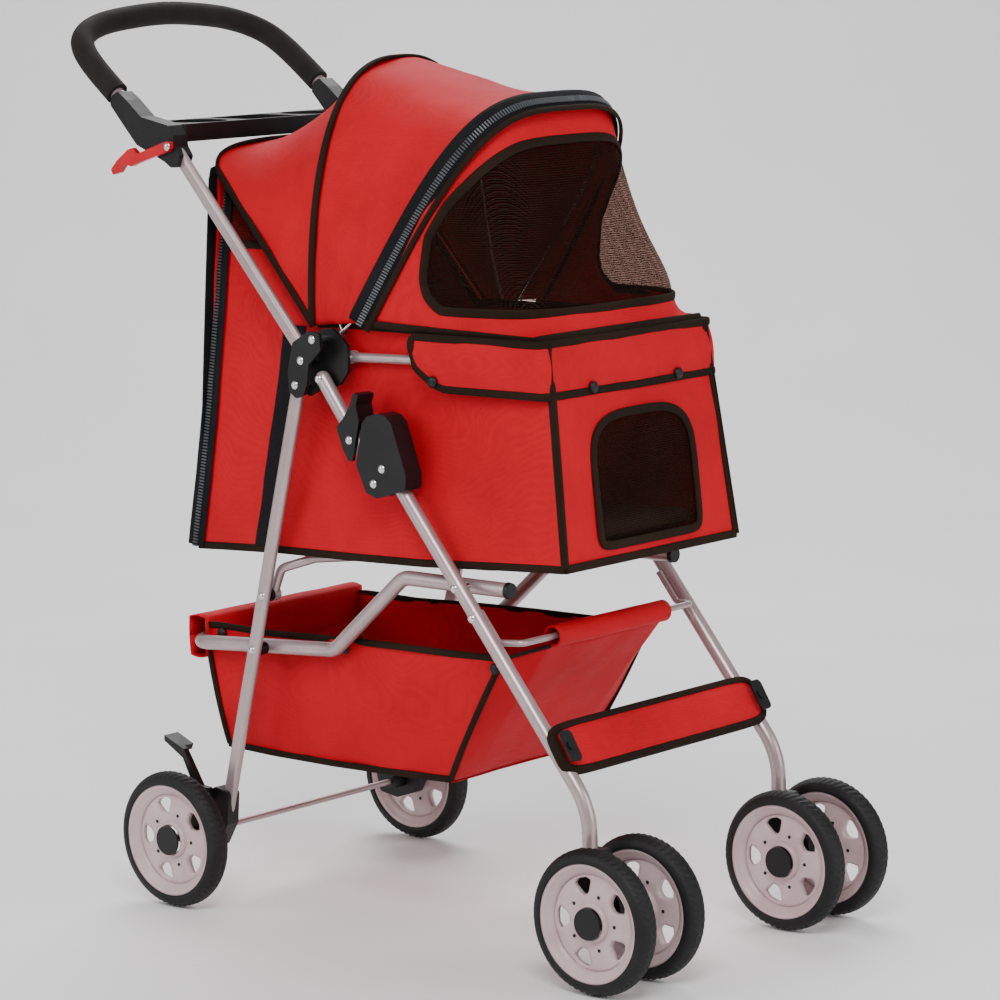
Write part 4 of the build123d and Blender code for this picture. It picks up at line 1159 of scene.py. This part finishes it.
# ------------------------------------------------------------ padded foot rest
def buildFootRest():
    low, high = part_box("foot_rest")
    across = (high.x - low.x) / 2 - 0.002
    lowEnd, highEnd = spot(0, 58, 212), spot(0, 84, 254.5)
    normal = Vector((0, -(highEnd.z - lowEnd.z), highEnd.y - lowEnd.y)).normalized()
    verts, faces = [], []
    ring = 28
    for i in range(49):
        u = i / 48
        rim = math.sqrt(max(0.0, 1 - abs(2 * u - 1) ** 14))
        for k in range(ring):
            a = 2 * math.pi * k / ring
            along = math.copysign(abs(math.cos(a)) ** 0.5, math.cos(a)) * 0.5 * (0.25 + 0.75 * rim)
            fat = math.sin(a) * 0.0072 * rim
            groove = 1 - 0.10 * (0.5 + 0.5 * math.cos(2 * math.pi * u * 10)) * abs(math.sin(a))
            mid = lerp(lowEnd, highEnd, 0.5 + along)
            verts.append(mid + Vector((lerp(-across, across, u), 0, 0)) + normal * fat * groove)
    for i in range(48):
        for k in range(ring):
            m = (k + 1) % ring
            faces.append((i * ring + k, i * ring + m, (i + 1) * ring + m, (i + 1) * ring + k))
    faces.append(tuple(range(ring)))
    faces.append(tuple(48 * ring + k for k in range(ring)))
    pad = addMesh("footRestPad", verts, faces, redCloth)
    loop = []
    for k in range(160):
        a = 2 * math.pi * k / 160
        c, w = math.cos(a), math.sin(a)
        u = math.copysign(abs(c) ** 0.13, c) * (across - 0.002)
        along = math.copysign(abs(w) ** 0.4, w) * 0.485
        loop.append(lerp(lowEnd, highEnd, 0.5 + along) + Vector((u, 0, 0)))
    even = smoothLine(loop + [loop[0]], 181)[:-1]
    trim = band("footRestBinding", even, [normal] * 180, 0.0095, 0.012, bindingCloth, closed=True)
    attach(trim, "front_legs")
    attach(pad, "front_legs")
    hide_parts("foot_rest")


buildFootRest()
print("foot rest done")

# ------------------------------------------------------------ rear zips, cabin side to hood
def buildSideZips():
    for side, word in ((-1, "Right"), (1, "Left")):
        line = [(596, 393), (586, 470), (577, 554), (569, 650), (564, 723), (561, 790)]
        pts = [sidePoint(side, p.x + 2, p.y, 0.0022) for p in smoothLine(pairs(line), 80)]
        out = Vector((side, 0, 0))
        tape = band("sideZipTape" + word, pts, [out] * 80, 0.024, 0.0026, blackStrap)
        teeth = repeatAlong("sideZipTeeth" + word, [p + out * 0.0018 for p in pts], [out] * 80, zipTooth,
                            0.0034, zipPlastic)
        cabinPiece(tape)
        cabinPiece(teeth)


buildSideZips()
print("zips done")

# ------------------------------------------------------------ tyres with a fine chevron tread
def buildTyre(nodeName, body):
    low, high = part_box(nodeName)
    centre = (low + high) / 2
    radius = (high.z - low.z) / 2
    half = (high.x - low.x) / 2
    profile = []
    for k in range(25):
        a = math.pi * k / 24
        profile.append((-half * math.cos(a), math.sin(a) ** 0.8))
    inner = radius - 0.0135
    verts, faces = [], []
    steps, ring = 240, 26
    for i in range(steps):
        turn = 2 * math.pi * i / steps
        for k, (x, rise) in enumerate(profile):
            r = inner + (radius - inner) * rise
            tread = 0.0
            if rise > 0.72:
                wave = math.sin(60 * turn + 7.0 * abs(x) / half)
                tread = -0.0011 if wave < -0.25 else 0.0
                if abs(x) < half * 0.07:
                    tread = -0.0009
            r += tread
            verts.append(centre + Vector((x, r * math.cos(turn), r * math.sin(turn))))
        verts.append(centre + Vector((half * 0.8, (inner - 0.002) * math.cos(turn),
                                      (inner - 0.002) * math.sin(turn))))
    for i in range(steps):
        n = (i + 1) % steps
        for k in range(ring):
            m = (k + 1) % ring
            faces.append((i * ring + k, i * ring + m, n * ring + m, n * ring + k))
    tyre = addMesh(nodeName + "Tread", verts, faces, tyreRubber)
    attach(tyre, body)
    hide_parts(nodeName)


# ------------------------------------------------------------ hubs: a dished rim with five windows
hub = {"rimOuter": 0.0618, "rimInner": 0.0500, "windowLow": 0.0290, "windowHigh": 0.0465, "lowHalf": 0.0052,
       "highHalf": 0.0135,
       "bore": 0.0150, "web": 0.0045}


def buildHub(nodeName, body):
    low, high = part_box(nodeName)
    centre = (low + high) / 2
    half = (high.x - low.x) / 2
    rows = [hub["bore"], 0.020, 0.0245, hub["windowLow"]]
    rows += [lerp(hub["windowLow"], hub["windowHigh"], k / 8)
             for k in range(1, 9)] + [hub["rimInner"] + 0.0004]
    work = bmesh.new()
    grid = []
    sector = 2 * math.pi / 5
    for r in rows:
        line = []
        share = min(1, max(0, (r - hub["windowLow"]) / (hub["windowHigh"] - hub["windowLow"])))
        soft = 1 - 0.5 * abs(2 * share - 1) ** 6
        halfTurn = math.asin(min(0.9, lerp(hub["lowHalf"], hub["highHalf"], share) * soft / max(r, 0.02)))
        for n in range(5):
            for k in range(20):
                if k < 10:
                    turn = lerp(-halfTurn, halfTurn, k / 10)
                else:
                    turn = lerp(halfTurn, sector - halfTurn, (k - 10) / 10)
                turn += n * sector + 0.31
                swell = 0.0016 * math.sin(math.pi * min(1, (r - rows[0]) / (rows[-1] - rows[0])))
                line.append(work.verts.new(centre + Vector((hub["web"] / 2 + swell, r * math.sin(turn),
                                                            r * math.cos(turn)))))
        grid.append(line)
    count = 100
    for i in range(len(rows) - 1):
        for k in range(count):
            if 3 <= i < 11 and k % 20 < 10:
                continue
            m = (k + 1) % count
            work.faces.new([grid[i][k], grid[i][m], grid[i + 1][m], grid[i + 1][k]])
    edges = [e for e in work.edges if len(e.link_faces) == 1]
    made = bmesh.ops.duplicate(work, geom=list(work.faces))
    twins = made["vert_map"]
    for vert in [v for v in made["geom"] if isinstance(v, bmesh.types.BMVert)]:
        vert.co.x = 2 * centre.x - vert.co.x
    for e in edges:
        a, b = e.verts
        work.faces.new([a, b, twins[b], twins[a]])
    bmesh.ops.delete(work, geom=[v for v in work.verts if not v.link_faces], context="VERTS")
    bmesh.ops.recalc_face_normals(work, faces=work.faces)
    # rim, a lathe of one closed outline
    outline = [(-half, 0.0592), (-half, 0.0612), (-half + 0.002, hub["rimOuter"]),
               (half - 0.002, hub["rimOuter"]), (half, 0.0612),
               (half, 0.0592), (half - 0.0015, 0.0572), (half - 0.006, 0.0535), (0.0045, hub["rimInner"]),
               (0, hub["rimInner"] - 0.0002),
               (-0.0045, hub["rimInner"]), (-half + 0.006, 0.0535), (-half + 0.0015, 0.0572)]
    steps = 120
    rings = []
    for i in range(steps):
        turn = 2 * math.pi * i / steps
        rings.append([work.verts.new(centre + Vector((x, r * math.sin(turn), r * math.cos(turn)))) for x,
                      r in outline])
    rimFaces = []
    for i in range(steps):
        n = (i + 1) % steps
        for k in range(len(outline)):
            m = (k + 1) % len(outline)
            rimFaces.append(work.faces.new([rings[i][k], rings[i][m], rings[n][m], rings[n][k]]))
    # boss round the axle
    ringsB = []
    boss = [(-half * 0.72, 0.0165), (-half * 0.72, 0.0185), (-0.004, 0.0205), (0.004, 0.0205),
            (half * 0.72, 0.0185), (half * 0.72, 0.0165)]
    for i in range(60):
        turn = 2 * math.pi * i / 60
        ringsB.append([work.verts.new(centre + Vector((x, r * math.sin(turn), r * math.cos(turn)))) for x,
                       r in boss])
    for i in range(60):
        n = (i + 1) % 60
        for k in range(len(boss)):
            m = (k + 1) % len(boss)
            rimFaces.append(work.faces.new([ringsB[i][k], ringsB[i][m], ringsB[n][m], ringsB[n][k]]))
    bmesh.ops.recalc_face_normals(work, faces=work.faces)
    mesh = bpy.data.meshes.new(nodeName + "Shape")
    work.to_mesh(mesh)
    work.free()
    mesh.materials.append(wheelPlastic)
    for polygon in mesh.polygons:
        polygon.use_smooth = True
    obj = bpy.data.objects.new(nodeName + "Shape", mesh)
    bpy.context.scene.collection.objects.link(obj)
    # black discs between the windows: painted shade standing in for the dark inside of each small hole
    verts, faces = [], []
    for n in range(5):
        turn = (n + 0.5) * sector + 0.31
        for side in (-1, 1):
            at = centre + Vector((side * (hub["web"] / 2 + 0.0014), 0.0285 * math.sin(turn),
                                  0.0285 * math.cos(turn)))
            base = len(verts)
            for x in (-0.0006, 0.0006):
                for k in range(12):
                    a = 2 * math.pi * k / 12
                    verts.append(at + Vector((x, 0.0019 * math.cos(a), 0.0019 * math.sin(a))))
            for k in range(12):
                m = (k + 1) % 12
                faces.append((base + k, base + m, base + 12 + m, base + 12 + k))
            faces.append(tuple(base + k for k in range(12)))
            faces.append(tuple(base + 12 + k for k in range(12)))
    # black plastic discs, painted shade for the inside of each hole
    holeShade = addMesh(nodeName + "Holes", verts, faces, blackPlastic, smooth=False)
    for piece in (obj, holeShade):
        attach(piece, body)
    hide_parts(nodeName)


for nodeName in list(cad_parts):
    if nodeName.startswith("hub_"):
        buildHub(nodeName, "wheel_" + nodeName[4:])
for nodeName in list(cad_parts):
    if nodeName.startswith("tyre_"):
        buildTyre(nodeName, "wheel_" + nodeName[5:])
print("tyres done")

# ------------------------------------------------------------ floor, light and camera
def buildStage():
    mesh = bpy.data.meshes.new("floorPlane")
    verts, faces = [], []
    reach = Vector((0.75, 0.66, 0)).normalized()
    sideways = Vector((reach.y, -reach.x, 0))
    rows = [(-6.0, 0.0), (2.6, 0.0)] + [(2.6 + 1.6 * math.sin(k * math.pi / 20),
                                         1.6 - 1.6 * math.cos(k * math.pi / 20))
                                        for k in range(1, 11)] + [(4.2, 6.0)]
    for out, up in rows:
        for across in (-7, 7):
            here = reach * out + sideways * across
            verts.append((here.x, here.y, up))
    for i in range(len(rows) - 1):
        faces.append((2 * i, 2 * i + 1, 2 * i + 3, 2 * i + 2))
    mesh.from_pydata(verts, [], faces)
    paper, tree, shader, out = newMaterial("paperFloor")
    spread = noiseNode(tree, objectCoords(tree), 3.0, 3.0, 0.5)
    tree.links.new(rampNode(tree, spread, [(0.3, (0.90, 0.90, 0.90)), (0.7, (0.93, 0.93, 0.93))]),
                   shader.inputs["Base Color"])
    shader.inputs["Roughness"].default_value = 0.7
    mesh.materials.append(paper)
    plane = bpy.data.objects.new("floorPlane", mesh)
    bpy.context.scene.collection.objects.link(plane)
    plane.location.z = -0.0005
    for name, place, size, power in (("keyLight", (-2.2, -1.9, 2.9), 1.6, 95),
                                     ("fillLight", (-3.0, 1.4, 1.8), 2.4, 50),
                                     ("backLight", (2.0, 1.6, 3.4), 2.6, 110),
                                     ("frontLight", (0.8, -3.2, 1.4), 2.0, 40)):
        data = bpy.data.lights.new(name, "AREA")
        data.size = size
        data.energy = power
        lamp = bpy.data.objects.new(name, data)
        lamp.location = place
        aim = Vector((0, 0, 0.45)) - lamp.location
        lamp.rotation_euler = aim.to_track_quat("-Z", "Y").to_euler()
        bpy.context.scene.collection.objects.link(lamp)
    world = bpy.data.worlds.new("paleWorld")
    world.use_nodes = True
    world.node_tree.nodes["Background"].inputs[0].default_value = (1, 1, 1, 1)
    world.node_tree.nodes["Background"].inputs[1].default_value = 0.36
    bpy.context.scene.world = world


camera = {"place": (-3.1209, -2.7595, 1.0784), "look": (0.7489, 0.6454, -0.1506), "roll": -0.0175,
          "lens": 140.68, "sensor": 36}


def buildCamera():
    roll = camera["roll"]
    look = Vector(camera["look"]).normalized()
    right = look.cross(Vector((0, 0, 1))).normalized()
    up = right.cross(look)
    r2 = right * math.cos(roll) + up * math.sin(roll)
    u2 = up * math.cos(roll) - right * math.sin(roll)
    data = bpy.data.cameras.new("mainCamera")
    data.lens = camera["lens"]
    data.sensor_width = camera["sensor"]
    data.clip_end = 50
    cam = bpy.data.objects.new("mainCamera", data)
    turn = Matrix((r2, u2, -look)).transposed().to_4x4()
    cam.matrix_world = Matrix.Translation(camera["place"]) @ turn
    bpy.context.scene.collection.objects.link(cam)
    bpy.context.scene.camera = cam


buildStage()
buildCamera()
bpy.data.objects.remove(zipTooth)
bpy.context.view_layer.update()
print("stage done")
